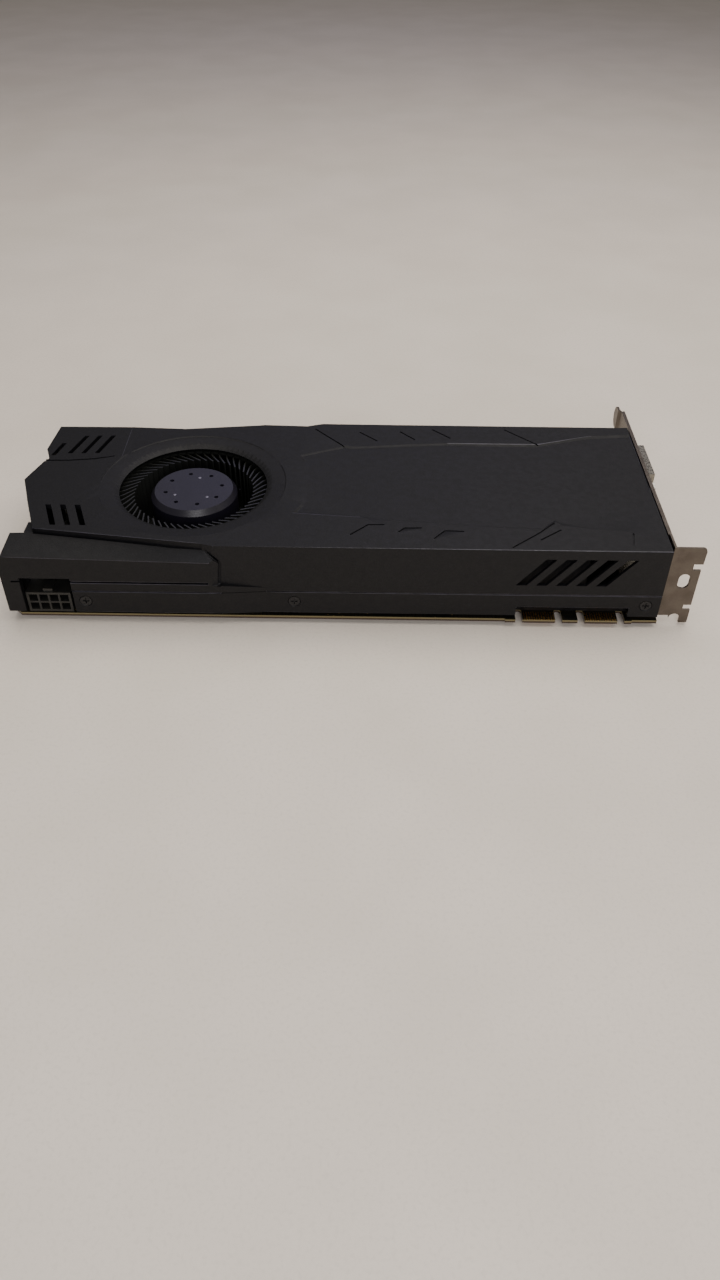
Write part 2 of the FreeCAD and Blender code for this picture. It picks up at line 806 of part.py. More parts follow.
# ---- side rails
def front_rail():
    """The lower strip of the upper side, held by three screws."""
    outline = [
        (-window_right, wall), (-window_right, -proud), (-block_end - 0.5, -proud),
        (-ledge_end, 0), (cover_right, 0), (cover_right, wall),
    ]
    strip = plan(outline, skirt_bottom, seam_z - 0.25)
    cut_out = box(-60.0, -14.3, -5, wall + 3, 0, 7.7)
    cuts = [cut_out]
    for x in side_screw_x:
        front = -proud if x > block_end else 0
        cuts.append(rod_y(-x, side_screw_z, front - 1, wall + 3, side_screw_r + 0.1))
        cuts.append(Part.makeCone(side_head_r + 0.35, side_screw_r + 0.1, 1.2, Vector(-x, front,
                                                                                      side_screw_z),
                                  Vector(0, 1, 0)))
    return strip.cut(Part.makeCompound(cuts))


def rear_rail():
    strip = box(rail_rear_left(), rail_rear_right(), cover_depth - wall, cover_depth, skirt_bottom,
                seam_z - 0.25)
    cuts = []
    for x in rear_screw_x():
        cuts.append(rod_y(x, side_screw_z, cover_depth - wall - 1, cover_depth + 1, side_screw_r + 0.1))
        cone = Part.makeCone(side_screw_r + 0.1, side_head_r + 0.35, 1.2, Vector(x, cover_depth - 1.2,
                                                                                 side_screw_z),
                             Vector(0, 1, 0))
        cuts.append(cone)
    return strip.cut(Part.makeCompound(cuts))


def rear_screw_x():
    return [rail_rear_left() + 8, rail_rear_right() - 8]


def side_screws():
    """Countersunk screws through the rails into the base plate's lugs."""
    made = []
    for x in side_screw_x:
        front = -proud if x > block_end else 0
        head = Part.makeCone(side_head_r, side_screw_r, 1.2, Vector(-x, front + 0.1, side_screw_z),
                             Vector(0, 1, 0))
        made.append(screw_with_recess(head, -x, front + 0.1, wall + 3.6, 1))
    for x in rear_screw_x():
        head = Part.makeCone(side_screw_r, side_head_r, 1.2, Vector(x, cover_depth - 1.3, side_screw_z),
                             Vector(0, 1, 0))
        made.append(screw_with_recess(head, x, cover_depth - 0.1, cover_depth - wall - 3.6, -1))
    return Part.makeCompound(made)


def screw_with_recess(head, x, y_face, y_end, inward):
    """A screw along y with a cross recess; inward is +1 when it goes in towards +Y."""
    low = min(y_face + inward * 0.5, y_end)
    high = max(y_face + inward * 0.5, y_end)
    shank = rod_y(x, side_screw_z, low, high, side_screw_r - 0.05)
    whole = join([head, shank])
    depth_a = y_face - 0.1 if inward > 0 else y_face - 0.7
    arms = [
        box(x - 1.4, x + 1.4, depth_a, depth_a + 0.8, side_screw_z - 0.25, side_screw_z + 0.25),
        box(x - 0.25, x + 0.25, depth_a, depth_a + 0.8, side_screw_z - 1.4, side_screw_z + 1.4),
    ]
    return whole.cut(join(arms))


# ---- base plate and cooler
def base_plate():
    """Cast plate over the memory and power stages; it carries the fan and the rails."""
    x0 = tail + 10.5
    x1 = -socket_depth - 2
    x2 = -socket_depth - 6
    y0 = wall + tab_thick + 0.1
    y1 = cover_depth - wall - tab_thick - 0.1
    outline = [
        (x0, 26), (x0 + 17, 26), (x0 + 17, 12), (x0 + 21, y0 + 2), (x0 + 21, y0), (x1, y0), (x1, 54), (x2,
                                                                                                       54),
        (x2, y1), (tail + 130, y1), (tail + 116, y1 - 2.4), (tail + 62, y1 - 6.2), (x0, y1 - 4.6),
    ]
    plate = plan(outline, plate_low, plate_high)
    parts = [plate]
    for x, y in plate_screws():
        parts.append(post(x, y, board_thick, plate_low + 0.5, 2.6))
    for x in side_screw_x[:2]:
        parts.append(lug(-x, y0, y0 + 5.0))
    parts.append(lug(-side_screw_x[2], y0, y0 + 5.0, 14))
    for x in rear_screw_x():
        parts.append(lug(x, y1 - 5.0, y1))
    window = chip_side / 2 + 1.5
    cuts = [box(chip_x - window, chip_x + window, chip_y - window, chip_y + window, 0, 40)]
    cuts += [post(x, y, board_thick - 1, plate_high - 0.4, screw_hole_r - 0.3) for x, y in plate_screws()]
    cuts += [post(x, y, 0, 40, 2.6) for x, y in chip_screws()]
    cuts += [post(x, y, 0, 40, screw_hole_r - 0.3) for x, y in fan_screw_places()]
    for x in side_screw_x:
        cuts.append(rod_y(-x, side_screw_z, wall, y0 + 4.4, side_screw_r))
    for x in rear_screw_x():
        cuts.append(rod_y(x, side_screw_z, y1 - 4.4, y1 + 1, side_screw_r))
    for places, hx, hy in [(choke_places(), 4.1, 4.1), (tail_choke_places(), 3.6, 4.1),
                           (tail_capacitor_places(), 3.4, 3.4)]:
        for x, y in places:
            cuts.append(box(x - hx, x + hx, y - hy, y + hy, 0, 40))
    cuts.append(box(fan_header_x() - 18, fan_header_x() + 5, y0 + 0.8, 11.2, 0, plate_high + 1))
    return join(parts).cut(Part.makeCompound(cuts))


def lug(x, y0, y1, long=8):
    """An upright ear of the base plate with a threaded hole for a side screw."""
    left = x - 4
    right = x - 4 + 8
    if long > 8:
        left = x - long + 4
    return box(left, right, y0, y1, plate_low, side_screw_z + 3.2)


def copper_base():
    """Vapour chamber with a foot that reaches the chip."""
    reach_x = 46.0
    reach_y = 36.0
    slab = box(chip_x - reach_x, chip_x + reach_x, chip_y - reach_y, chip_y + reach_y, copper_low,
               copper_high)
    foot_half = die_side / 2 + 3
    foot = box(chip_x - foot_half, chip_x + foot_half, chip_y - foot_half, chip_y + foot_half, die_top,
               copper_low)
    posts = [post(x, y, board_thick + 0.4, copper_low, 2.2) for x, y in chip_screws()]
    holes = [post(x, y, 0, copper_high - 1, 1.1) for x, y in chip_screws()]
    return join([slab, foot] + posts).cut(Part.makeCompound(holes))


def fins():
    """Folded fins: thin upright sheets joined along their feet."""
    x0 = -fin_from_bracket - fan_gap_x()
    x1 = -fin_from_bracket
    top = cover_under - recess_depth - fin_clear_top
    y1 = fin_start_y + fin_pitch * (fin_count - 1) + fin_thick
    foot = box(x0, x1, fin_start_y, y1, copper_high, copper_high + 0.5)
    sheets = [foot]
    for k in range(fin_count):
        y = fin_start_y + fin_pitch * k
        sheets.append(box(x0, x1, y, y + fin_thick, copper_high, top))
    return join(sheets)


def chip_spring_screws():
    """Sprung screws seen on the back of the board, with their heads."""
    made = []
    for x, y in chip_screws():
        shank = post(x, y, -1.2, copper_low + 1.0, 1.05)
        head = post(x, y, -bracket_low, -1.2, 3.0)
        cross = box(x - 1.6, x + 1.6, y - 0.3, y + 0.3, -bracket_low - 1, -bracket_low + 0.6)
        cross2 = box(x - 0.3, x + 0.3, y - 1.6, y + 1.6, -bracket_low - 1, -bracket_low + 0.6)
        made.append(join([shank, head]).cut(join([cross, cross2])))
    return Part.makeCompound(made)


def chip_springs():
    """Flat spring washers under the sprung screws' heads, pressing on the board."""
    return Part.makeCompound([ring(x, y, -1.2, 0, 2.6, 1.5) for x, y in chip_screws()])


def plate_screw_set():
    made = []
    for x, y in plate_screws():
        shank = post(x, y, -0.1, plate_high - 0.6, screw_hole_r - 0.32)
        head = post(x, y, -1.3, 0, 2.4)
        cross = box(x - 1.3, x + 1.3, y - 0.25, y + 0.25, -2, -0.7)
        cross2 = box(x - 0.25, x + 0.25, y - 1.3, y + 1.3, -2, -0.7)
        made.append(join([shank, head]).cut(join([cross, cross2])))
    return Part.makeCompound(made)


# ---- blower
def fan_screw_places():
    reach = fan_frame_r - 3.4
    angles = [math.radians(90 + 120 * k) for k in range(fan_screws)]
    return [(fan_x + reach * math.cos(a), fan_y + reach * math.sin(a)) for a in angles]


def fan_frame():
    """Fixed floor of the blower, with the seat for the motor."""
    disc = post(fan_x, fan_y, fan_base, fan_floor, fan_frame_r)
    seat = post(fan_x, fan_y, fan_floor, fan_floor + 2.0, sleeve_out_r() + 1.6)
    cuts = [post(x, y, 0, 40, screw_hole_r - 0.1) for x, y in fan_screw_places()]
    cuts += [post(x, y, fan_floor - 0.8, 40, 2.6) for x, y in fan_screw_places()]
    cuts.append(post(fan_x, fan_y, fan_base + 0.6, fan_floor + 3, sleeve_out_r()))
    groove_low = fan_base + 0.3
    cuts.append(box(lead_x() - 1.5, lead_x() + 1.5, fan_y - fan_frame_r - 1, fan_y - 13, groove_low,
                    fan_floor + 0.1))
    cuts.append(box(lead_x() - 1.5, lead_x() + 9, fan_y - fan_frame_r - 1, 18.0, fan_base - 0.1,
                    fan_floor + 0.1))
    return join([disc, seat]).cut(Part.makeCompound(cuts))


def sleeve_out_r():
    return shaft_r + shaft_running_gap + sleeve_wall


def bearing_sleeve():
    outer = post(fan_x, fan_y, fan_base + 0.6, hub_top - 9.0, sleeve_out_r())
    return outer.cut(post(fan_x, fan_y, fan_base + 1.2, hub_top, shaft_r + shaft_running_gap))


def magnet_in_r():
    return hub_r - hub_wall - yoke_wall - magnet_thick


def stator_core():
    """Stacked steel plates: a ring on the sleeve with six T-shaped teeth."""
    z0 = disc_low + 5.5
    z1 = hub_top - 8.5
    outer = magnet_in_r() - air_gap
    collar_r = sleeve_out_r() + 2.6
    parts = [post(fan_x, fan_y, z0, z1, collar_r)]
    for k in range(stator_teeth):
        tooth = box(fan_x + collar_r - 1, fan_x + outer - 1.0, fan_y - 1.3, fan_y + 1.3, z0, z1)
        parts.append(turned(tooth, 360 / stator_teeth * k, fan_x, fan_y))
    rim = ring(fan_x, fan_y, z0, z1, outer, outer - 1.6)
    gaps = []
    for k in range(stator_teeth):
        gap = box(fan_x + outer - 3, fan_x + outer + 1, fan_y - 0.8, fan_y + 0.8, z0 - 1, z1 + 1)
        gaps.append(turned(gap, 360 / stator_teeth * (k + 0.5), fan_x, fan_y))
    parts.append(rim.cut(Part.makeCompound(gaps)))
    hole = post(fan_x, fan_y, z0 - 1, z1 + 1, sleeve_out_r())
    return join(parts).cut(hole)


def stator_coils():
    z0 = disc_low + 4.6
    z1 = hub_top - 7.6
    collar_r = sleeve_out_r() + 2.6
    outer = magnet_in_r() - air_gap - 1.6
    coils = []
    for k in range(stator_teeth):
        x0 = fan_x + collar_r + 0.5
        x1 = fan_x + outer - 0.2
        coil = box(x0, x1, fan_y - 2.1, fan_y + 2.1, z0, z1)
        coil = coil.cut(box(x0 - 1, x1 + 1, fan_y - 1.3, fan_y + 1.3, z0 + 0.9, z1 - 0.9))
        coils.append(turned(coil, 360 / stator_teeth * k, fan_x, fan_y))
    return Part.makeCompound(coils)


def motor_board():
    """Round driver board of the fan motor, lying on the motor seat."""
    z0 = fan_floor + 2.0
    return ring(fan_x, fan_y, z0, z0 + 1.0, magnet_in_r() - air_gap, sleeve_out_r() + 0.1)


def blade(z0, z1):
    """One curved blade, bent along an arc between its inner and outer edge."""
    steps = 4
    inner = []
    outer = []
    for k in range(steps + 1):
        t = k / steps
        r = blade_inner_r + (blade_outer_r - blade_inner_r) * t
        a = math.radians(-blade_sweep * (1 - t) ** 2)
        x = r * math.cos(a)
        y = r * math.sin(a)
        lean = a + math.radians(40 * (1 - t))
        nx = -math.sin(lean) * blade_thick / 2
        ny = math.cos(lean) * blade_thick / 2
        inner.append((fan_x + x + nx, fan_y + y + ny))
        outer.append((fan_x + x - nx, fan_y + y - ny))
    return plan(inner + outer[::-1], z0, z1)


def impeller():
    """Hub cap, floor disc and blades, moulded in one."""
    cup_low = disc_low
    cup = post(fan_x, fan_y, cup_low, hub_top - hub_bevel, hub_r)
    bevel = Part.makeCone(hub_r, hub_flat_r, hub_bevel, Vector(fan_x, fan_y, hub_top - hub_bevel))
    disc = post(fan_x, fan_y, disc_low, blade_low, blade_outer_r)
    body = join([cup, bevel, disc])
    hollow = post(fan_x, fan_y, disc_low - 1, hub_top - hub_bevel - 0.2, hub_r - hub_wall)
    body = body.cut(hollow)
    boss = ring(fan_x, fan_y, hub_top - 6.0, hub_top - hub_bevel, shaft_r + 2.0, shaft_r)
    blades = [turned(blade(blade_low - 0.2, blade_high), 360 / blade_count * k, fan_x,
                     fan_y) for k in range(blade_count)]
    top_ring = ring(fan_x, fan_y, blade_high - 1.2, blade_high, blade_outer_r, blade_outer_r - 1.4)
    dents = []
    for k in range(hub_holes):
        a = math.radians(hub_hole_angle + 360 / hub_holes * k)
        x = fan_x + hub_hole_circle * math.cos(a)
        y = fan_y + hub_hole_circle * math.sin(a)
        dents.append(post(x, y, hub_top - 1.6, hub_top + 1, hub_hole_r))
    return join([body, boss, top_ring] + blades).cut(Part.makeCompound(dents))


def rotor_yoke():
    """Steel cup pressed inside the hub."""
    top = hub_top - hub_bevel - 0.2
    outer = hub_r - hub_wall
    cup = post(fan_x, fan_y, disc_low, top, outer)
    cup = cup.cut(post(fan_x, fan_y, disc_low - 1, top - yoke_wall, outer - yoke_wall))
    return cup.cut(post(fan_x, fan_y, 0, 60, shaft_r + 2.0))


def rotor_magnet():
    outer = hub_r - hub_wall - yoke_wall
    return ring(fan_x, fan_y, disc_low + 0.8, hub_top - 7.0, outer, outer - magnet_thick)


def rotor_shaft():
    return post(fan_x, fan_y, fan_base + 1.6, hub_top - hub_bevel - 0.2, shaft_r)


def fan_screw_set():
    made = []
    for x, y in fan_screw_places():
        head = post(x, y, fan_floor - 0.8, fan_floor + 0.3, 2.3)
        shank = post(x, y, plate_low + 0.2, fan_floor - 0.8, screw_hole_r - 0.32)
        cross = box(x - 1.3, x + 1.3, y - 0.25, y + 0.25, fan_floor - 0.3, fan_floor + 1)
        made.append(join([shank, head]).cut(cross))
    return Part.makeCompound(made)


def lead_x():
    return fan_x + 4.0


def fan_header_x():
    return fan_x + 26.0


def lead_points():
    """Corners of the fan lead's route, from the motor board to the socket."""
    y = 7.4
    return [
        Vector(lead_x(), fan_y - 14, lead_z),
        Vector(lead_x(), fan_y - 28, lead_z),
        Vector(lead_x() + 6.5, y + 0.8, lead_z - 0.2),
        Vector(fan_header_x() - 6.05, y, lead_z - 1.9),
    ]


def tangent_path(points):
    """Straight runs joined by tangent arcs, each as large as its two runs allow."""
    edges = []
    start = points[0]
    for before, corner, after in zip(points, points[1:], points[2:]):
        into = corner - before
        out = after - corner
        half_turn = into.getAngle(out) / 2
        reach = 0.45 * min(into.Length, out.Length)
        radius = reach / math.tan(half_turn)
        into.normalize()
        out.normalize()
        a = corner - into * reach
        b = corner + out * reach
        inward = out - into
        inward.normalize()
        middle = corner + inward * (radius / math.cos(half_turn) - radius)
        edges.append(Part.makeLine(start, a))
        edges.append(Part.Arc(a, middle, b).toShape())
        print("fan lead arc radius %.1f" % radius)
        start = b
    edges.append(Part.makeLine(start, points[-1]))
    return Part.Wire(edges)


def fan_lead():
    points = lead_points()
    path = tangent_path(points)
    circle = Part.Wire(Part.makeCircle(lead_r, points[0], points[1] - points[0]))
    tube = path.makePipeShell([circle], True, False)
    print("fan lead volume %.1f, section times length %.1f" % (tube.Volume, math.pi * lead_r ** 2 * path.Length))
    return tube


def fan_socket():
    """Four-way socket on the board that the fan lead plugs into."""
    x = fan_header_x()
    end_z = lead_points()[-1].z
    body = box(x - 5.8, x + 4.0, 4.2, 10.6, board_thick, board_thick + 4.6)
    return body.cut(rod_x(7.4, end_z, x - 6.8, x - 5.8, 0.2))


# ---- bracket
def flange():
    """Turned-over end that a case screw holds, with its two notches and two slots."""
    top = cover_top
    r = flange_reach
    outline = [
        (-bracket_thick, top), (r - 1.2, top), (r - 0.1, top - 0.6), (r + flange_lobe,
                                                                      top - 1.8), (r + 0.1, 28.4),
        (8.3, 28.4), (8.3, 25.5), (r - 0.2, 25.5), (r - 0.2, 7.9), (8.5, 7.9), (8.5, 5.4),
        (r - 0.1, 5.4), (r - 0.1, -1.0), (r - 0.6, -1.5), (slot_x + slot_half, -1.5), (slot_x + slot_half,
                                                                                       0.95),
        (slot_x - slot_half, 0.95), (slot_x - slot_half, 2.4), (-bracket_thick, 2.4),
    ]
    plate = elevation(outline, flange_y, flange_y + bracket_thick)
    closed = oblong_y(slot_x, slot_low, slot_low + slot_tall, slot_half, 0, 10)
    half_open = rod_y(slot_x, slot_low - slot_pitch + slot_tall - slot_half, 0, 10, slot_half)
    return plate.cut(closed).cut(half_open)


def tongue(z0, z1):
    """Rounded tip that drops into the case, stepped back behind the plate."""
    y0 = bracket_shoulder_y - 1
    t = bracket_thick
    back = -tongue_set_back
    outline = [
        (0, y0), (0, y0 + 2.5), (back, y0 + 5.0), (back, bracket_tip_y), (back - t, bracket_tip_y),
        (back - t, y0 + 5.0), (-t, y0 + 2.5), (-t, y0),
    ]
    corner_r = (z1 - z0) / 2 - 0.6
    tip = section([(y0 - 1, z0), (y0 - 1, z1), (bracket_tip_y - corner_r, z1), (bracket_tip_y - corner_r,
                                                                                z0)], -5, 2)
    for z in (z0 + corner_r, z1 - corner_r):
        tip = tip.fuse(rod_x(bracket_tip_y - corner_r, z, -5, 2, corner_r))
    between = box(-5, 2, bracket_tip_y - corner_r, bracket_tip_y, z0 + corner_r, z1 - corner_r)
    return plan(outline, z0, z1).common(tip.fuse(between))


def exhaust_cuts():
    """Leaning slots that let the warm air out, above the small sockets."""
    cuts = []
    for k in range(8):
        y = 9.0 + 5.6 * k
        cuts.append(section([(y, 14.0), (y + 3.2, 14.0), (y + 9.2, 32.0), (y + 6.0, 32.0)], -3, 2))
    return cuts


def bracket():
    plate_outline = [
        (flange_y, 2.4), (flange_y, cover_top), (bracket_shoulder_y, cover_top), (bracket_shoulder_y,
                                                                                  -bracket_low),
        (12.0, -bracket_low), (9.0, 0.5),
    ]
    plate = section(plate_outline, -bracket_thick, 0)
    lip = box(-bracket_thick - lip_depth, -bracket_thick + 0.01, 12.0, bracket_shoulder_y - 1,
              cover_top - 0.9, cover_top)
    upper_tongue = tongue(tongue_low, tongue_high)
    lower_tongue = tongue(tongue_low - slot_pitch, tongue_high - slot_pitch)
    body = join([plate, lip, flange(), upper_tongue, lower_tongue])
    cuts = exhaust_cuts()
    for z in dvi_heights():
        cuts.append(section(d_outline(dvi_y, z, dvi_wide + 2 * fit_gap, dvi_high + 2 * fit_gap), -3, 2))
        for y in jack_places():
            cuts.append(rod_x(y, z, -3, 2, 1.75))
    cuts.append(section(d_outline(hdmi_y, socket_z, hdmi_wide + 2 * fit_gap, hdmi_high + 2 * fit_gap,
                                  1.8), -3, 2))
    cuts.append(box(-3, 2, port_y - port_wide / 2 - fit_gap, port_y + port_wide / 2 + fit_gap,
                    socket_z - port_high / 2 - fit_gap, socket_z + port_high / 2 + fit_gap))
    return body.cut(Part.makeCompound(cuts))


def dvi_heights():
    return [dvi_low_z, dvi_low_z + dvi_pitch]


def jack_places():
    return [dvi_y - dvi_screw_pitch / 2, dvi_y + dvi_screw_pitch / 2]


# ---- display sockets
def dvi_half():
    return dvi_screw_pitch / 2 + 3.4


def dvi_top():
    return dvi_low_z + dvi_pitch + 6.2


def dvi_housing():
    """Moulded stand that stacks the two wide sockets behind the bracket."""
    body = box(-socket_depth - 4, -bracket_thick, dvi_y - dvi_half(), dvi_y + dvi_half(), board_thick,
               dvi_top())
    cuts = []
    for z in dvi_heights():
        cuts.append(section(d_outline(dvi_y, z, dvi_wide, dvi_high), -bracket_thick - 3.0, 0))
        for y in jack_places():
            cuts.append(rod_x(y, z, -10, 0, 1.5))
    for x, y in dvi_pin_places():
        cuts.append(post(x, y, board_thick - 1, board_thick + 1.5, pin_hole_r))
    return body.cut(Part.makeCompound(cuts))


def dvi_shell(z):
    """Pressed steel shell round one wide socket."""
    outer = section(d_outline(dvi_y, z, dvi_wide, dvi_high), -bracket_thick - 3.0, dvi_reach)
    inner_outline = d_outline(dvi_y, z, dvi_wide - 2 * shell_thick, dvi_high - 2 * shell_thick)
    return outer.cut(section(inner_outline, -bracket_thick - 4.0, dvi_reach + 1))


def dvi_insert(z):
    """Plastic face with a grid of contact holes and the cross-shaped ground."""
    wide = dvi_wide - 2 * shell_thick - 2.2
    face = section(d_outline(dvi_y, z, wide, 5.6, 1.0), -bracket_thick - 3.0, dvi_reach - 0.8)
    back = section(d_outline(dvi_y, z, dvi_wide - 2 * shell_thick, dvi_high - 2 * shell_thick),
                   -bracket_thick - 3.0,
                   -bracket_thick - 1.5)
    holes = []
    for row in range(3):
        for k in range(8):
            y = dvi_y + 9.6 - 1.95 * k
            holes.append(box(0, dvi_reach, y - 0.45, y + 0.45, z - 1.9 + 1.9 * row - 0.4,
                             z - 1.9 + 1.9 * row + 0.4))
    blade_y = dvi_y - 8.6
    holes.append(box(0, dvi_reach, blade_y - 2.0, blade_y + 2.0, z - 0.3, z + 0.3))
    holes.append(box(0, dvi_reach, blade_y - 0.3, blade_y + 0.3, z - 2.0, z + 2.0))
    return join([face, back]).cut(Part.makeCompound(holes))


def jackscrews():
    made = []
    for z in dvi_heights():
        for y in jack_places():
            nut = hexagon_x(y, z, 0, jack_reach, jack_hex)
            stem = rod_x(y, z, -8, 0, 1.4)
            bore = rod_x(y, z, 0.6, jack_reach + 1, jack_bore_r)
            made.append(join([nut, stem]).cut(bore))
    return Part.makeCompound(made)


def dvi_pins():
    return Part.makeCompound([post(x, y, -1.6, board_thick + 1.4, 0.35) for x, y in dvi_pin_places()])


def small_shell(y, wide, high, outline):
    z = socket_z
    outer = section(outline(y, z, wide, high), -socket_depth, socket_reach)
    inner = section(outline(y, z, wide - 2 * shell_thick, high - 2 * shell_thick),
                    -socket_depth + shell_thick,
                    socket_reach + 1)
    feet = [box(x, x + 2.0, y + s * (wide / 2 - 2.2) - 0.25, y + s * (wide / 2 - 2.2) + 0.25, board_thick,
                z - high / 2 + 0.2) for x in (-4.5, -12.0) for s in (-1, 1)]
    return join([outer.cut(inner)] + feet)


def hdmi_outline(y, z, wide, high):
    return d_outline(y, z, wide, high, 1.8)


def port_outline(y, z, wide, high):
    half = wide / 2
    return [(y - half, z + high / 2), (y + half, z + high / 2), (y + half, z - high / 2), (y - half + 1.6,
                                                                                           z - high / 2),
            (y - half, z - high / 2 + 1.6)]


def small_insert(y, wide, outline, high):
    """Plastic tongue that carries the contacts, on its back wall."""
    z = socket_z
    back = section(outline(y, z, wide - 2 * shell_thick, high - 2 * shell_thick),
                   -socket_depth + shell_thick,
                   -socket_depth + 4)
    blade_part = box(-socket_depth + 3.9, -1.2, y - wide / 2 + 2.2, y + wide / 2 - 2.2, z - 0.6, z + 0.6)
    return join([back, blade_part])


# ---- build everything
def all_nodes():
    choke_top = board_thick + 5.2
    return {
        "circuit_board": circuit_board(),
        "edge_contacts": edge_contacts(),
        "bridge_contacts": bridge_contacts(),
        "chip_substrate": chip_substrate(),
        "chip_die": chip_die(),
        "memory_chips": blocks(memory_places(), memory_half, board_thick, board_thick + memory_high),
        "memory_pads": blocks(memory_places(), memory_half, board_thick + memory_high, plate_low),
        "power_chokes": blocks(choke_places(), (3.7, 3.7), board_thick, board_thick + 3.4),
        "tail_chokes": blocks(tail_choke_places(), (3.2, 3.7), board_thick, choke_top),
        "tail_capacitors": capacitors(),
        "bulk_capacitors": blocks(capacitor_places(), (1.8, 1.6), board_thick, board_thick + 1.9),
        "power_stages": blocks(mosfet_places(), (2.8, 3.0), board_thick, board_thick + 1.0),
        "power_stage_pads": blocks(mosfet_places(), (2.8, 3.0), board_thick + 1.0, plate_low),
        "small_chips": small_chips(),
        "power_housing": power_housing(),
        "power_pins": power_pins(),
        "cover": cover(),
        "upper_rail": front_rail(),
        "lower_rail": rear_rail(),
        "side_screws": side_screws(),
        "base_plate": base_plate(),
        "copper_base": copper_base(),
        "fins": fins(),
        "chip_screws": chip_spring_screws(),
        "chip_springs": chip_springs(),
        "plate_screws": plate_screw_set(),
        "fan_frame": fan_frame(),
        "bearing_sleeve": bearing_sleeve(),
        "stator_core": stator_core(),
        "stator_coils": stator_coils(),
        "motor_board": motor_board(),
        "impeller": impeller(),
        "rotor_yoke": rotor_yoke(),
        "rotor_magnet": rotor_magnet(),
        "rotor_shaft": rotor_shaft(),
        "fan_screws": fan_screw_set(),
        "fan_lead": fan_lead(),
        "fan_socket": fan_socket(),
        "bracket": bracket(),
        "dvi_housing": dvi_housing(),
        "dvi_shell_lower": dvi_shell(dvi_heights()[0]),
        "dvi_shell_upper": dvi_shell(dvi_heights()[1]),
        "dvi_insert_lower": dvi_insert(dvi_heights()[0]),
        "dvi_insert_upper": dvi_insert(dvi_heights()[1]),
        "jackscrews": jackscrews(),
        "dvi_pins": dvi_pins(),
        "hdmi_shell": small_shell(hdmi_y, hdmi_wide, hdmi_high, hdmi_outline),
        "hdmi_insert": small_insert(hdmi_y, hdmi_wide, hdmi_outline, hdmi_high),
        "displayport_shell": small_shell(port_y, port_wide, port_high, port_outline),
        "displayport_insert": small_insert(port_y, port_wide, port_outline, port_high),
    }


os.makedirs("parts", exist_ok=True)
for name, shape in all_nodes().items():
    shape.translate(-origin)
    shape.exportStep("parts/%s.step" % name)
    solids = len(shape.Solids)
    print("%-20s solids %3d volume %10.1f valid %s" % (name, solids, shape.Volume, shape.isValid()))
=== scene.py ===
import math

import bmesh
import bpy
import numpy as np
from mathutils import Matrix, Vector


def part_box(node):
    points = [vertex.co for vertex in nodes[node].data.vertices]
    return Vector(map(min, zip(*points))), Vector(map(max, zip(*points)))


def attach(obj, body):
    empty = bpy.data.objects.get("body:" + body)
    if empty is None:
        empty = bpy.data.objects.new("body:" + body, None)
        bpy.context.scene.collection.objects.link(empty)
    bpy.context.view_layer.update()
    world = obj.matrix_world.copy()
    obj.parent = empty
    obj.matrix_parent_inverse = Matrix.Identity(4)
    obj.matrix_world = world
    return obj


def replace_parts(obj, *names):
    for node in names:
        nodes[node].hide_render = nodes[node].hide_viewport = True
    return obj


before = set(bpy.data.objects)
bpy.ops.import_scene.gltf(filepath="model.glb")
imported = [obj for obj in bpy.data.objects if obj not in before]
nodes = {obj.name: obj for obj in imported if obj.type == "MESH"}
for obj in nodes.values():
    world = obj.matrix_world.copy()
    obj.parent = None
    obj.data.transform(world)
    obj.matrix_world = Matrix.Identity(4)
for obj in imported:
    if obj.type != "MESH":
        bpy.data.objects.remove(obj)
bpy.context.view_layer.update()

# ---- Camera
# Held by hand over the near long side of the card, tilted down at it and a little rolled.
# It stands where the near edge, the fan and the bracket line up as they do when seen.
camera = bpy.data.objects.new("camera", bpy.data.cameras.new("camera"))
bpy.context.scene.collection.objects.link(camera)
bpy.context.scene.camera = camera
camera.data.sensor_width = 36.0
camera.data.lens = 27.96
camera.data.clip_start = 0.01
camera_place = Vector((0.0055, -0.3740, 0.2661))
turned_right, tilted_down, rolled = -0.28, 41.26, 0.59
yaw, pitch, roll = (math.radians(angle) for angle in (turned_right, tilted_down, rolled))
forward = Vector((math.sin(yaw) * math.cos(pitch), math.cos(yaw) * math.cos(pitch), -math.sin(pitch)))
level = Vector((math.cos(yaw), -math.sin(yaw), 0.0))
upward = level.cross(forward)
right = math.cos(roll) * level + math.sin(roll) * upward
upward = -math.sin(roll) * level + math.cos(roll) * upward
turned = Matrix((right, upward, -forward)).transposed().to_4x4()
camera.matrix_world = Matrix.Translation(camera_place) @ turned


# ---- Circuit board
# The flat board that carries everything: woven glass cloth in epoxy resin, with dark solder
# mask over copper lines on both faces, routed to shape so that its cut edge shows the resin.
def linear(colour):
    """An sRGB hex colour as linear RGBA.

    Each channel c from 0 to 1 becomes ((c + 0.055) / 1.055) ** 2.4, or c / 12.92 where it is dark.
    """
    channels = [int(colour[i:i + 2], 16) / 255 for i in (1, 3, 5)]
    return [c / 12.92 if c < 0.04045 else ((c + 0.055) / 1.055) ** 2.4 for c in channels] + [1.0]


def add(tree, kind, inputs=None, **settings):
    """Adds one shader node with its settings. inputs gives each socket a value, or another node's output."""
    made = tree.nodes.new(kind)
    for name, value in settings.items():
        setattr(made, name, value)
    for name, value in (inputs or {}).items():
        if isinstance(value, bpy.types.NodeSocket):
            tree.links.new(value, made.inputs[name])
        else:
            made.inputs[name].default_value = value
    return made


def finish(name, colour, roughness, metallic=0.0, ior=1.5):
    """A new material with one colour, roughness and metallic value. A metal keeps the default IOR."""
    material = bpy.data.materials.new(name)
    material.use_nodes = True
    shader = material.node_tree.nodes["Principled BSDF"]
    shader.inputs["Base Color"].default_value = linear(colour)
    shader.inputs["Roughness"].default_value = roughness
    shader.inputs["Metallic"].default_value = metallic
    if not metallic:
        shader.inputs["IOR"].default_value = ior
    return material


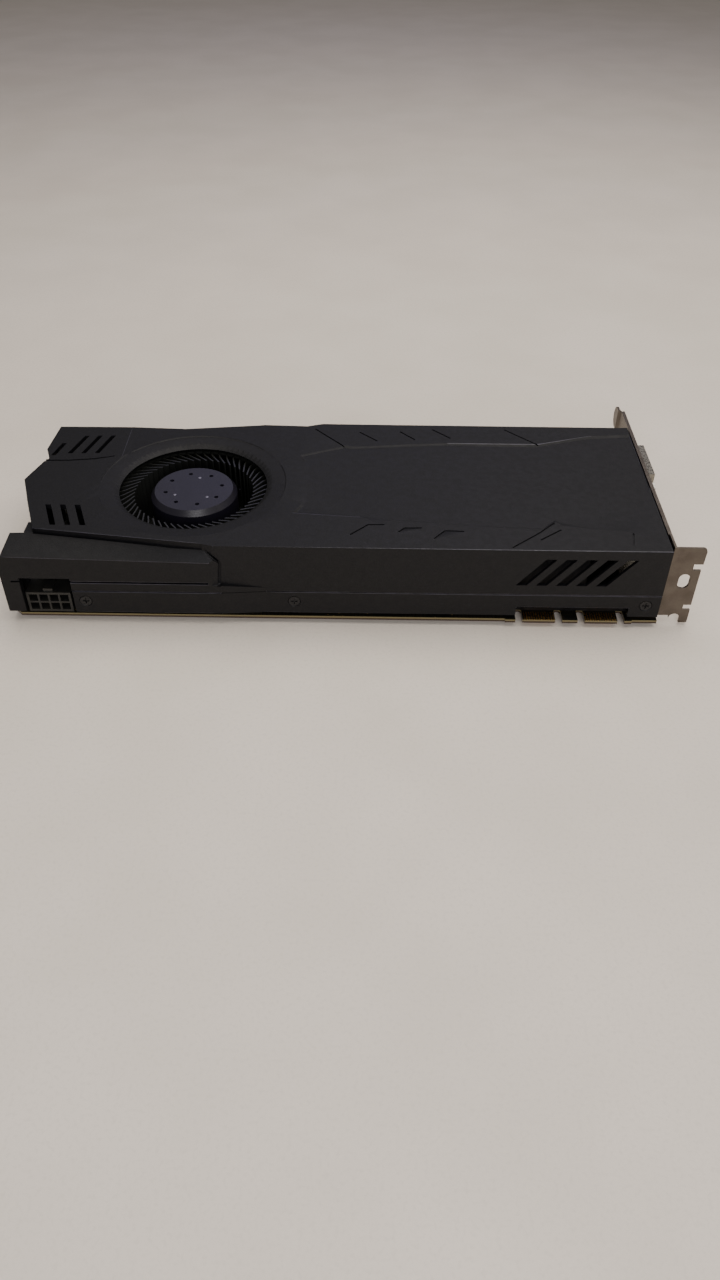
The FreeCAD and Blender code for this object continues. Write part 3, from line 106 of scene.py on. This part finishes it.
def place(tree, size_mm, stretch=(1, 1, 1)):
    """Object coordinates in steps of size_mm, and in shorter steps along an axis with a larger stretch."""
    where = add(tree, "ShaderNodeTexCoord").outputs["Object"]
    step = [s * 1000 / size_mm for s in stretch]
    return add(tree, "ShaderNodeMapping", {"Vector": where, "Scale": step}).outputs["Vector"]


def cloud(tree, size_mm, stretch=(1, 1, 1), low=0.35, high=0.65, detail=3.0):
    """A soft random pattern from 0 to 1: fractal noise stretched so that low turns to 0 and high to 1."""
    where = place(tree, size_mm, stretch)
    noise = add(tree, "ShaderNodeTexNoise", {"Vector": where, "Scale": 1.0, "Detail": detail}).outputs["Fac"]
    return add(tree, "ShaderNodeMapRange", {"Value": noise, "From Min": low, "From Max": high}).outputs[0]


def blend_in(material, colour, amount, mask):
    """Mixes another colour into what the shader's colour is so far, by a 0-to-1 mask times an amount."""
    tree = material.node_tree
    base = tree.nodes["Principled BSDF"].inputs["Base Color"]
    so_far = base.links[0].from_socket if base.is_linked else list(base.default_value)
    share = add(tree, "ShaderNodeMath", {0: mask, 1: amount}, operation="MULTIPLY").outputs[0]
    mixed = add(tree, "ShaderNodeMix", {0: share, 6: so_far, 7: linear(colour)}, data_type="RGBA")
    tree.links.new(mixed.outputs[2], base)


def polish(material, low, high, mask):
    """Roughness runs from low to high with the mask."""
    tree = material.node_tree
    rough = add(tree, "ShaderNodeMapRange", {"Value": mask, "To Min": low, "To Max": high})
    tree.links.new(rough.outputs[0], tree.nodes["Principled BSDF"].inputs["Roughness"])


def relief(material, depth_mm, mask):
    """Raises the surface by depth_mm where the mask is 1, on top of any relief it has so far."""
    tree = material.node_tree
    facing = tree.nodes["Principled BSDF"].inputs["Normal"]
    bump = add(tree, "ShaderNodeBump", {"Height": mask, "Distance": depth_mm / 1000, "Strength": 1.0})
    if facing.is_linked:
        tree.links.new(facing.links[0].from_socket, bump.inputs["Normal"])
    tree.links.new(bump.outputs["Normal"], facing)


def dress(name, material):
    """Gives every material slot of a CAD node this material."""
    for held in nodes[name].material_slots:
        held.material = material


# Solder mask over glass laminate: a near-black glossy film. To the eye it is dark brown-black, with
# copper lines that stand up under it in blocks of changing direction, and bare dots at plated holes.
# The lines are drawn 0.7 mm wide, where real ones are about 0.15 mm, so that they show.
LINE_BLOCK_MM, LINE_STEP_MM, HOLE_STEP_MM = 11.0, 5.0, 2.6
HOLE_SHARE = 0.11
SKIN_DEPTH, SKIN_FADED = 0.0006, 0.0009
solder_mask = finish("solder_mask_over_glass_laminate", "#11100d", 0.34)
tree = solder_mask.node_tree
patch = add(tree, "ShaderNodeTexVoronoi", {"Vector": place(tree, LINE_BLOCK_MM), "Scale": 1.0},
            distance="CHEBYCHEV").outputs["Color"]
turn = add(tree, "ShaderNodeSeparateColor", {0: patch})
along, across = (
    add(tree, "ShaderNodeTexWave", {"Vector": place(tree, LINE_STEP_MM), "Scale": 1.0, "Distortion": 0.0},
        bands_direction=direction).outputs["Fac"] for direction in ("X", "Y"))
pick = add(tree, "ShaderNodeMath", {0: turn.outputs[0], 1: 0.5}, operation="GREATER_THAN").outputs[0]
lines = add(tree, "ShaderNodeMix", {0: pick, 2: along, 3: across}).outputs[0]
routed = add(tree, "ShaderNodeMath", {0: turn.outputs[1], 1: 0.45}, operation="GREATER_THAN").outputs[0]
lines = add(tree, "ShaderNodeMath", {0: lines, 1: 0.55}, operation="GREATER_THAN").outputs[0]
lines = add(tree, "ShaderNodeMath", {0: lines, 1: routed}, operation="MULTIPLY").outputs[0]
blend_in(solder_mask, "#211d13", 0.9, lines)
relief(solder_mask, 0.035, lines)
holes = add(tree, "ShaderNodeTexVoronoi",
            {"Vector": place(tree, HOLE_STEP_MM), "Scale": 1.0}).outputs["Distance"]
holes = add(tree, "ShaderNodeMath", {0: holes, 1: HOLE_SHARE}, operation="LESS_THAN").outputs[0]
blend_in(solder_mask, "#6b5a34", 0.9, holes)
polish(solder_mask, 0.28, 0.46, cloud(tree, 4.0))
# The routed edge shows brown resin, with a paler olive skin along its upper part.
facing = add(tree, "ShaderNodeSeparateXYZ",
             {0: add(tree, "ShaderNodeNewGeometry").outputs["Normal"]}).outputs[2]
upright = add(tree, "ShaderNodeMath", {0: facing}, operation="ABSOLUTE").outputs[0]
cut = add(tree, "ShaderNodeMath", {0: upright, 1: 0.5}, operation="LESS_THAN").outputs[0]
blend_in(solder_mask, "#33231b", 1.0, cut)
board_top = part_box("circuit_board")[1].z
height = add(tree, "ShaderNodeSeparateXYZ", {0: add(tree, "ShaderNodeTexCoord").outputs["Object"]}).outputs[2]
skin = add(tree, "ShaderNodeMapRange", {"Value": height, "From Min": board_top - SKIN_FADED,
                                        "From Max": board_top - SKIN_DEPTH}).outputs[0]
skin = add(tree, "ShaderNodeMath", {0: skin, 1: cut}, operation="MULTIPLY").outputs[0]
blend_in(solder_mask, "#6e6443", 1.0, skin)
dress("circuit_board", solder_mask)

# The fan motor's own small board: green mask over the same glass laminate, mottled and half dull.
motor_laminate = finish("motor_board_laminate", "#1d2a1c", 0.45)
blend_in(motor_laminate, "#33422f", 0.6, cloud(motor_laminate.node_tree, 3.0))
dress("motor_board", motor_laminate)

# ---- Gold contacts
# The fingers on the board's slot edge and on its two bridge tabs: strips of the board's own copper,
# plated with nickel and then hard gold, side by side at an even pitch on both faces.
# Hard gold plate: warm yellow metal, rubbed duller and browner in patches where it has slid in a socket.
gold = finish("hard_gold_plate", "#d0a158", 0.3, metallic=1.0)
blend_in(gold, "#a07a42", 0.6, cloud(gold.node_tree, 2.5))
polish(gold, 0.22, 0.5, cloud(gold.node_tree, 0.8))


def blocks(name, low, high, inset, material):
    """Small blocks with chamfered edges, one for each pair of low and high corners, all in one mesh.

    Each is an eight-sided section, its four corners cut by inset, carried along y through four
    stations; at the first and last the section is inset once more, so that the ends are chamfered too.
    """
    middle, half = (low + high) / 2, (high - low) / 2
    side_x = np.array([1, 1, 1, -1, -1, -1, -1, 1])
    side_z = np.array([-1, 1, 1, 1, 1, -1, -1, -1])
    cut_x = np.array([0, 0, 1, 1, 0, 0, 1, 1])
    side_y = np.array([-1, -1, 1, 1])
    cut_y = np.array([0, 1, 1, 0])
    shrink = 1 - cut_y
    x = side_x * (half[:, 0, None, None] - inset * (cut_x + shrink[:, None]))
    y = side_y[:, None] * (half[:, 1, None, None] - inset * cut_y[:, None]) + np.zeros(side_x.size)
    z = side_z * (half[:, 2, None, None] - inset * (1 - cut_x + shrink[:, None]))
    points = (np.stack([x, y, z], -1) + middle[:, None, None, :]).reshape(-1, 3)
    index = np.arange(side_y.size * side_x.size).reshape(side_y.size, side_x.size)
    ring = np.hstack([index, index[:, :1]])
    walls = np.stack([ring[:-1, :-1], ring[:-1, 1:], ring[1:, 1:], ring[1:, :-1]], -1).reshape(-1, 4)
    starts = index.size * np.arange(len(low))
    walls = (walls + starts[:, None, None]).reshape(-1, 4)
    ends = np.concatenate([index[0, ::-1] + starts[:, None], index[-1] + starts[:, None]])
    mesh = bpy.data.meshes.new(name)
    mesh.from_pydata(points.tolist(), [], walls.tolist() + ends.tolist())
    shape = bmesh.new()
    shape.from_mesh(mesh)
    bmesh.ops.recalc_face_normals(shape, faces=shape.faces)
    shape.to_mesh(mesh)
    shape.free()
    mesh.materials.append(material)
    made = bpy.data.objects.new(name, mesh)
    bpy.context.scene.collection.objects.link(made)
    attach(made, "card")
    return made


PLATE_THICK, PLATE_CHAMFER = 0.00008, 0.00003


def fingers(name, node, middles, width_mm):
    """Contact fingers on both faces of the board, with these middles along x.

    They replace a CAD node and keep within its box.
    """
    box_low, box_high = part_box(node)
    x = np.tile(middles, 2)
    bottom = np.repeat([box_low.z, box_high.z - PLATE_THICK], len(middles))
    same = np.ones_like(x)
    low = np.stack([x - width_mm / 2000, same * box_low.y, bottom], -1)
    high = np.stack([x + width_mm / 2000, same * box_high.y, bottom + PLATE_THICK], -1)
    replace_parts(blocks(name, low, high, PLATE_CHAMFER, gold), node)


# 11 fingers lie past the key slot, nearest the bracket, and the rest fill the edge up to the slot.
PITCH = 0.001
PAST_KEY, PER_TAB = 11, 13
EDGE_WIDTH_MM, TAB_WIDTH_MM = 0.7, 0.65
KEY_GAP = 2.6 * PITCH
edge_low, edge_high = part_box("edge_contacts")
past_key = edge_high.x - PITCH * (np.arange(PAST_KEY) + 0.5)
before_key = np.arange(edge_low.x + PITCH / 2, past_key[-1] - KEY_GAP, PITCH)
fingers("edge_fingers", "edge_contacts", np.concatenate([past_key, before_key]), EDGE_WIDTH_MM)
tab_low, tab_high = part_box("bridge_contacts")
steps = PITCH * (np.arange(PER_TAB) + 0.6)
both_tabs = np.concatenate([tab_low.x + steps, tab_high.x - steps])
fingers("bridge_fingers", "bridge_contacts", both_tabs, TAB_WIDTH_MM)

# ---- Chips on the board
# Memory, power and control chips soldered to the board, and the graphics chip: a bare silicon die
# on a small laminate of its own. Grey heat pads lie between the hot ones and the cooler.
# Moulded epoxy package: dull near-black, grained by its mould.
package = finish("moulded_epoxy_package", "#141416", 0.55)
blend_in(package, "#232326", 0.6, cloud(package.node_tree, 0.7))
relief(package, 0.01, cloud(package.node_tree, 0.25))
for name in ("memory_chips", "bulk_capacitors", "power_stages", "small_chips"):
    dress(name, package)
# Green chip laminate: a dark green film, slightly uneven.
chip_laminate = finish("green_chip_laminate", "#1d3a22", 0.4)
blend_in(chip_laminate, "#2f5130", 0.6, cloud(chip_laminate.node_tree, 2.0))
dress("chip_substrate", chip_laminate)
# Polished silicon: a blue-grey mirror.
silicon = finish("polished_silicon", "#4a4c55", 0.12, metallic=1.0)
blend_in(silicon, "#5c5f6b", 0.6, cloud(silicon.node_tree, 8.0))
dress("chip_die", silicon)
# Silicone heat pad: soft matt grey with a pressed grain.
pad = finish("silicone_heat_pad", "#84888f", 0.85)
blend_in(pad, "#6d7178", 0.7, cloud(pad.node_tree, 1.2))
relief(pad, 0.03, cloud(pad.node_tree, 0.6))
dress("memory_pads", pad)
dress("power_stage_pads", pad)

# Small surface-mount capacitors in rows under the graphics chip, on the board's underside: a matt
# tan ceramic body with a bright cap of tin solder at each end, which holds it to the board.
PART_STEP_X, PART_STEP_Y = 0.0026, 0.0034
ROWS_OUT, COLUMNS_OUT = 4, 6
BODY_HALF_X, BODY_HALF_Y, BODY_DEPTH = 0.0004, 0.00055, 0.0008
CAP_HALF_X, CAP_HALF_Y, CAP_DEPTH = 0.00043, 0.0002, 0.00084
CAP_OFFSET = 0.00065
SUNK = 0.00002
PART_CHAMFER = 0.00006
ceramic = finish("fired_tan_ceramic", "#8a6f52", 0.5)
blend_in(ceramic, "#6b543c", 0.6, cloud(ceramic.node_tree, 1.5))
solder = finish("tin_solder", "#b4b4b0", 0.32, metallic=1.0)
polish(solder, 0.24, 0.5, cloud(solder.node_tree, 0.4))
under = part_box("circuit_board")[0].z


def hung(name, x, y, half_x, half_y, depth, material):
    """Blocks with middles x and y that hang from the board's underside by a depth, sunk a little into it."""
    low = np.stack([x - half_x, y - half_y, np.full_like(x, under - depth)], -1)
    high = np.stack([x + half_x, y + half_y, np.full_like(x, under + SUNK)], -1)
    blocks(name, low, high, PART_CHAMFER, material)


chip_low, chip_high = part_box("chip_die")
rows, columns = np.meshgrid(np.arange(-ROWS_OUT, ROWS_OUT + 1), np.arange(-COLUMNS_OUT, COLUMNS_OUT + 1),
                            indexing="ij")
# The corners are left free for the cooler's screws, and so is every third place.
by_a_screw = (abs(rows) == ROWS_OUT) & (abs(columns) >= COLUMNS_OUT - 1)
fitted = ~by_a_screw & ((rows + columns) % 3 != 0)
part_x = (chip_low.x + chip_high.x) / 2 + columns[fitted] * PART_STEP_X
part_y = (chip_low.y + chip_high.y) / 2 + rows[fitted] * PART_STEP_Y
hung("decoupling_bodies", part_x, part_y, BODY_HALF_X, BODY_HALF_Y, BODY_DEPTH, ceramic)
cap_x = np.repeat(part_x, 2)
cap_y = np.repeat(part_y, 2) + np.tile([-CAP_OFFSET, CAP_OFFSET], part_y.size)
hung("decoupling_caps", cap_x, cap_y, CAP_HALF_X, CAP_HALF_Y, CAP_DEPTH, solder)

# ---- Chokes and capacitors
# The power stages' chokes, blocks of ferrite pressed round a coil, and the tail's electrolytic
# capacitors, in cans drawn from aluminium sheet. All are soldered to the board's upper face.
# Pressed ferrite: dull charcoal with pale grains.
ferrite = finish("pressed_ferrite", "#2c2c2e", 0.75)
blend_in(ferrite, "#48484a", 0.6, cloud(ferrite.node_tree, 0.5))
relief(ferrite, 0.03, cloud(ferrite.node_tree, 0.4))
dress("power_chokes", ferrite)
dress("tail_chokes", ferrite)
# Drawn aluminium can: bright, with fine lines along the draw.
can = finish("drawn_aluminium_can", "#c3c5c8", 0.3, metallic=1.0)
polish(can, 0.22, 0.42, cloud(can.node_tree, 0.6, (1, 1, 8)))
dress("tail_capacitors", can)

# ---- Power socket
# An eight-way socket for the supply's plug, moulded in black nylon, with square pins of tinned
# brass that run along its cavities and turn down into the board, where they are soldered.
# Moulded nylon: satin black, a little yellow where it is thin.
nylon = finish("moulded_black_nylon", "#131313", 0.5)
blend_in(nylon, "#26251f", 0.5, cloud(nylon.node_tree, 5.0))
relief(nylon, 0.015, cloud(nylon.node_tree, 0.3))
dress("power_housing", nylon)
# Tinned brass: pale metal with patches of duller tin.
tinned = finish("tinned_brass", "#b9b7ae", 0.35, metallic=1.0)
polish(tinned, 0.25, 0.5, cloud(tinned.node_tree, 0.7))
for name in ("power_pins", "dvi_pins"):
    dress(name, tinned)

# ---- Cooler
# A cast aluminium plate screwed over the board, a copper block on the graphics chip, and a stack
# of thin aluminium fins soldered to the block, which the fan blows through.
# Black anodised casting: dark metal with the grain of its mould.
casting = finish("black_anodised_casting", "#19191b", 0.5, metallic=1.0)
blend_in(casting, "#2b2b2e", 0.6, cloud(casting.node_tree, 3.0))
relief(casting, 0.03, cloud(casting.node_tree, 0.4))
dress("base_plate", casting)
# Bare copper: milled along one way and browned by heat in patches.
copper = finish("bare_copper", "#b87354", 0.32, metallic=1.0)
blend_in(copper, "#8a4f38", 0.6, cloud(copper.node_tree, 6.0))
polish(copper, 0.2, 0.45, cloud(copper.node_tree, 0.6, (1, 12, 1)))
dress("copper_base", copper)
# Aluminium fin sheet: thin, streaked along its rolling, and near-black as painted shade for the dark inside
# of the cover's vents.
fin_sheet_painted_shade = finish("aluminium_fins_painted_shade_black", "#17171a", 0.45, metallic=0.4)
polish(fin_sheet_painted_shade, 0.35, 0.55, cloud(fin_sheet_painted_shade.node_tree, 0.5, (1, 10, 1)))
blend_in(fin_sheet_painted_shade, "#202023", 0.5, cloud(fin_sheet_painted_shade.node_tree, 4.0))
dress("fins", fin_sheet_painted_shade)

# ---- Screws and springs
# Machine screws that hold the cooler, the plate, the fan and the display sockets, with flat spring
# washers under the cooler's own, and countersunk screws that hold the two side rails.
# Nickel plate over steel: warm bright metal, dulled in specks.
nickel = finish("nickel_plated_steel", "#a5a39d", 0.3, metallic=1.0)
blend_in(nickel, "#84827c", 0.5, cloud(nickel.node_tree, 1.2))
polish(nickel, 0.22, 0.45, cloud(nickel.node_tree, 0.4))
for name in ("chip_screws", "plate_screws", "fan_screws", "jackscrews"):
    dress(name, nickel)
# Spring steel: grey rolled strip with a soft shine.
spring = finish("spring_steel", "#8c8c8e", 0.35, metallic=1.0)
polish(spring, 0.28, 0.45, cloud(spring.node_tree, 0.5))
dress("chip_springs", spring)
# Black zinc plate: almost black, with paler worn specks.
black_zinc = finish("black_zinc_plated_steel", "#1d1d1f", 0.32, metallic=0.6)
blend_in(black_zinc, "#3a3a3c", 0.5, cloud(black_zinc.node_tree, 0.6))
dress("side_screws", black_zinc)

# ---- Cover and side rails
# The long shroud over the cooler, injection moulded in charcoal ABS with a fine spark texture,
# and the two rails of the same plastic that close its long sides above the board.
CORNER_WIDTH_MM, SHORTEST_EDGE_MM = 0.28, 24.0
OUTER_ANGLE, SHARP_ANGLE = 28, 12


def moulded(name, width_mm, shortest_mm, material, edge_material):
    """A copy of a CAD node with its corners merged and its long outer edges rounded. It replaces the node.

    An outer edge is one between two faces that meet at more than OUTER_ANGLE, bulging outwards. One
    longer than shortest_mm is rounded by a bevel of two faces, and the result is kept in the node's box.
    """
    mesh = nodes[name].data.copy()
    mesh.materials.clear()
    mesh.materials.append(material)
    mesh.materials.append(edge_material)
    shape = bmesh.new()
    shape.from_mesh(mesh)
    bmesh.ops.remove_doubles(shape, verts=shape.verts, dist=2e-6)
    outer = [edge for edge in shape.edges
             if len(edge.link_faces) == 2 and edge.is_convex and edge.calc_length() > shortest_mm / 1000
             and edge.calc_face_angle() > math.radians(OUTER_ANGLE)]
    bmesh.ops.bevel(shape, geom=outer, offset=width_mm / 1000, segments=2, profile=0.5, affect="EDGES",
                    clamp_overlap=False, material=1)
    shape.to_mesh(mesh)
    shape.free()
    corners = np.empty(3 * len(mesh.vertices))
    mesh.vertices.foreach_get("co", corners)
    box_low, box_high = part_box(name)
    mesh.vertices.foreach_set("co", np.clip(corners.reshape(-1, 3), box_low, box_high).ravel())
    mesh.shade_smooth()
    mesh.set_sharp_from_angle(angle=math.radians(SHARP_ANGLE))
    made = bpy.data.objects.new(name + "_rounded", mesh)
    bpy.context.scene.collection.objects.link(made)
    normals = made.modifiers.new("flat_faces_stay_flat", "WEIGHTED_NORMAL")
    normals.weight = 100
    normals.keep_sharp = True
    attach(made, "card")
    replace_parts(made, name)


# Moulded ABS: near-black charcoal with a violet cast and a fine spark grain, which leaves it satin.
abs_plastic = finish("charcoal_moulded_abs", "#08080b", 0.56, ior=1.34)
tree = abs_plastic.node_tree
blend_in(abs_plastic, "#0b0b0f", 0.5, cloud(tree, 60.0, detail=5.0))
blend_in(abs_plastic, "#17171c", 0.4, cloud(tree, 0.9, low=0.5, high=0.75))
relief(abs_plastic, 0.02, cloud(tree, 0.45))
polish(abs_plastic, 0.5, 0.58, cloud(tree, 3.0))
# The long corners carry a painted highlight: their bevel faces are paler and smoother than the faces they
# join, as where light catches the rounded edge.
painted_corner_highlight = finish("abs_corner_painted_highlight", "#2f2d38", 0.38, ior=1.45)
blend_in(painted_corner_highlight, "#17171c", 0.8, cloud(painted_corner_highlight.node_tree, 5.0, detail=5.0))
polish(painted_corner_highlight, 0.3, 0.5, cloud(painted_corner_highlight.node_tree, 1.5))
for name in ("cover", "upper_rail", "lower_rail"):
    moulded(name, CORNER_WIDTH_MM, SHORTEST_EDGE_MM, abs_plastic, painted_corner_highlight)

# ---- Blower
# The fan that draws air in from above: a nylon frame screwed to the plate, a stator of steel plates
# with copper windings, and a moulded rotor on a steel shaft that turns in a bronze sleeve.
# Glass-filled nylon: dull black, slightly mottled by its fibres.
frame_plastic = finish("glass_filled_nylon", "#141415", 0.6)
blend_in(frame_plastic, "#1f1f21", 0.6, cloud(frame_plastic.node_tree, 1.0))
dress("fan_frame", frame_plastic)
# Sintered bronze: brown metal, speckled with oil-filled pores.
bronze = finish("sintered_bronze", "#8d6a3c", 0.5, metallic=1.0)
blend_in(bronze, "#6b4f2c", 0.7, cloud(bronze.node_tree, 0.4))
dress("bearing_sleeve", bronze)
# Stacked steel plates: grey, with a fine line at each sheet.
plates = finish("stacked_steel_plates", "#6c6c70", 0.45, metallic=1.0)
polish(plates, 0.3, 0.6, cloud(plates.node_tree, 0.4, (0.1, 0.1, 1)))
dress("stator_core", plates)
dress("rotor_yoke", plates)
# Enamelled copper wire: red-brown turns side by side.
winding = finish("enamelled_copper_wire", "#8f4a22", 0.3, metallic=1.0)
blend_in(winding, "#6a3216", 0.7, cloud(winding.node_tree, 0.4, (0.1, 0.1, 1)))
dress("stator_coils", winding)
# Bonded ferrite: matt dark grey.
magnet = finish("bonded_ferrite_magnet", "#232323", 0.7)
blend_in(magnet, "#343434", 0.6, cloud(magnet.node_tree, 0.4))
dress("rotor_magnet", magnet)
# Ground steel: almost a mirror, with fine rings.
ground = finish("ground_steel", "#cfcfcf", 0.15, metallic=1.0)
polish(ground, 0.1, 0.25, cloud(ground.node_tree, 0.3, (0.1, 0.1, 1)))
dress("rotor_shaft", ground)
# Glass-filled rotor plastic: a satin lilac-grey hub, and blades of the same part, darker because
# dust and shade dull them. The change lies in the empty ring between hub and blades.
HUB_END, BLADES_START = 0.0205, 0.0215
fan_low, fan_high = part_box("impeller")
fan_middle = (fan_low + fan_high) / 2
rotor_plastic = finish("satin_moulded_rotor", "#15131c", 0.34)
tree = rotor_plastic.node_tree
blend_in(rotor_plastic, "#1b1923", 0.6, cloud(tree, 9.0))
spot = add(tree, "ShaderNodeSeparateXYZ", {0: add(tree, "ShaderNodeTexCoord").outputs["Object"]})
level_spot = add(tree, "ShaderNodeCombineXYZ", {0: spot.outputs[0], 1: spot.outputs[1]}).outputs[0]
from_axis = add(tree, "ShaderNodeVectorMath", {0: level_spot, 1: (fan_middle.x, fan_middle.y, 0.0)},
                operation="DISTANCE").outputs["Value"]
outside = add(tree, "ShaderNodeMapRange", {"Value": from_axis, "From Min": HUB_END,
                                           "From Max": BLADES_START}).outputs[0]
blend_in(rotor_plastic, "#181917", 1.0, outside)
relief(rotor_plastic, 0.01, cloud(tree, 0.35))
dress("impeller", rotor_plastic)


def domes(name, centres, radius, rise, material, body):
    """Low round domes, one for each centre: over a disc of that radius the height is rise * (1 - r^2).

    r runs from 0 at the top to 1 at the rim.
    """
    rings, steps = 4, 14
    turns = np.linspace(0, 2 * math.pi, steps, endpoint=False)
    r, turn = np.meshgrid(np.linspace(0, 1, rings), turns, indexing="ij")
    unit = np.stack([radius * r * np.cos(turn), radius * r * np.sin(turn), rise * (1 - r ** 2)], -1)
    points = (centres[:, None, None, :] + unit).reshape(-1, 3)
    index = np.arange(rings * steps).reshape(rings, steps)
    index = np.hstack([index, index[:, :1]])
    faces = np.stack([index[:-1, :-1], index[1:, :-1], index[1:, 1:], index[:-1, 1:]], -1).reshape(-1, 4)
    faces = (faces + np.arange(len(centres))[:, None, None] * rings * steps).reshape(-1, 4)
    mesh = bpy.data.meshes.new(name)
    mesh.from_pydata(points.tolist(), [], faces.tolist())
    shape = bmesh.new()
    shape.from_mesh(mesh)
    bmesh.ops.remove_doubles(shape, verts=shape.verts, dist=1e-6)
    shape.to_mesh(mesh)
    shape.free()
    mesh.shade_smooth()
    mesh.materials.append(material)
    made = bpy.data.objects.new(name, mesh)
    bpy.context.scene.collection.objects.link(made)
    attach(made, body)


# Sheared gate plastic: pale lilac specks on the hub, where the plastic ran into the mould at three
# gates and was cut off.
GATE_CIRCLE, GATE_RADIUS, GATE_RISE = 0.0088, 0.00065, 0.00012
GATE_ANGLES = (81, 213, 316)
gate_plastic = finish("sheared_gate_plastic", "#6a6878", 0.4)
blend_in(gate_plastic, "#4a4858", 0.6, cloud(gate_plastic.node_tree, 0.3))
turn = np.radians(GATE_ANGLES)
gates = np.stack([fan_middle.x + GATE_CIRCLE * np.cos(turn), fan_middle.y + GATE_CIRCLE * np.sin(turn),
                  np.full(turn.size, fan_high.z)], -1)
domes("hub_gate_marks", gates, GATE_RADIUS, GATE_RISE, gate_plastic, "fan_rotor")
# Shrink sleeve: dull black over the motor wires.
sleeve = finish("shrink_sleeve", "#101010", 0.6)
blend_in(sleeve, "#1d1d1d", 0.6, cloud(sleeve.node_tree, 0.8))
dress("fan_lead", sleeve)
# White nylon: the small socket that the motor wires plug into, a little yellowed.
white_nylon = finish("white_moulded_nylon", "#d9d5c9", 0.5)
blend_in(white_nylon, "#c4beb0", 0.5, cloud(white_nylon.node_tree, 2.0))
dress("fan_socket", white_nylon)

# ---- Bracket
# The end plate that is screwed to the computer's case: one piece of steel sheet, punched for the
# sockets and the exhaust slots, turned over at its top and nickel plated.
# Nickel-plated sheet: warm grey, browner where it has been handled, and brushed across.
bracket_steel = finish("nickel_plated_sheet_steel", "#6d665f", 0.38, metallic=1.0)
tree = bracket_steel.node_tree
blend_in(bracket_steel, "#544d47", 0.6, cloud(tree, 7.0))
polish(bracket_steel, 0.28, 0.5, cloud(tree, 0.6, (1, 8, 1)))
dress("bracket", bracket_steel)

# ---- Display sockets
# Four sockets at the bracket: steel shells, drawn and nickel plated, round plastic faces that hold
# the contacts. The two large ones share a black housing and are held by the bracket's hex screws.
# Drawn shell: grey metal with a soft shine.
shell = finish("drawn_nickel_plated_shell", "#8f8c84", 0.3, metallic=1.0)
polish(shell, 0.22, 0.42, cloud(shell.node_tree, 0.8))
for name in ("dvi_shell_lower", "dvi_shell_upper", "hdmi_shell", "displayport_shell"):
    dress(name, shell)
# Black socket plastic: satin, with faint pale grains.
face_black = finish("black_socket_plastic", "#121213", 0.5)
blend_in(face_black, "#222223", 0.5, cloud(face_black.node_tree, 1.0))
for name in ("dvi_housing", "hdmi_insert", "displayport_insert"):
    dress(name, face_black)
# White socket plastic: warm white, clouded a little by age.
face_white = finish("white_socket_plastic", "#d8d6d0", 0.45)
blend_in(face_white, "#c2c0b8", 0.5, cloud(face_white.node_tree, 1.0))
dress("dvi_insert_lower", face_white)
dress("dvi_insert_upper", face_white)

# ---- Floor and light
# A plain pale table top, painted and matt, under three soft lamps: a large one overhead, a cool one
# behind the card and a neutral one low in front of it.
HALF_SIDE, FLOOR_STEPS = 3, 13
floor_paint = finish("pale_matt_table", "#e2d9cd", 0.85)
blend_in(floor_paint, "#d8cfc2", 0.6, cloud(floor_paint.node_tree, 60.0))
blend_in(floor_paint, "#cfc6b9", 0.35, cloud(floor_paint.node_tree, 1.4, low=0.5, high=0.7))
relief(floor_paint, 0.03, cloud(floor_paint.node_tree, 0.9))
# A level grid of square faces, z = 0 for every x and y.
line = np.linspace(-HALF_SIDE, HALF_SIDE, FLOOR_STEPS)
u, v = np.meshgrid(line, line, indexing="xy")
index = np.arange(u.size).reshape(u.shape)
squares = np.stack([index[:-1, :-1], index[:-1, 1:], index[1:, 1:], index[1:, :-1]], -1).reshape(-1, 4)
floor_mesh = bpy.data.meshes.new("floor")
floor_mesh.from_pydata(np.stack([u, v, np.zeros_like(u)], -1).reshape(-1, 3).tolist(), [], squares.tolist())
floor_mesh.materials.append(floor_paint)
floor = bpy.data.objects.new("floor", floor_mesh)
bpy.context.scene.collection.objects.link(floor)


def lamp(name, size, power, colour, at, aim, spread=180):
    """A square soft lamp of that side in metres and power in watts, turned to shine at a point."""
    light = bpy.data.lights.new(name, "AREA")
    light.shape = "SQUARE"
    light.size = size
    light.energy = power
    light.color = linear(colour)[:3]
    light.spread = math.radians(spread)
    made = bpy.data.objects.new(name, light)
    made.location = at
    made.rotation_euler = (Vector(aim) - Vector(at)).to_track_quat("-Z", "Y").to_euler()
    bpy.context.scene.collection.objects.link(made)


lamp("overhead", 1.0, 5.4, "#fff8f0", (0.15, 0.1, 0.75), (0.04, 0.04, 0.0), 140)
lamp("window", 0.8, 0.9, "#b9b0ff", (0.0, 1.1, 0.85), (0.0, 0.0, 0.0))
lamp("front", 0.5, 5.2, "#fdfbff", (0.1, -0.9, 0.45), (0.0, 0.0, 0.0))
world = bpy.data.worlds.new("soft_room")
bpy.context.scene.world = world
world.use_nodes = True
room = world.node_tree.nodes["Background"]
room.inputs["Color"].default_value = linear("#d6d2cc")
room.inputs["Strength"].default_value = 0.3
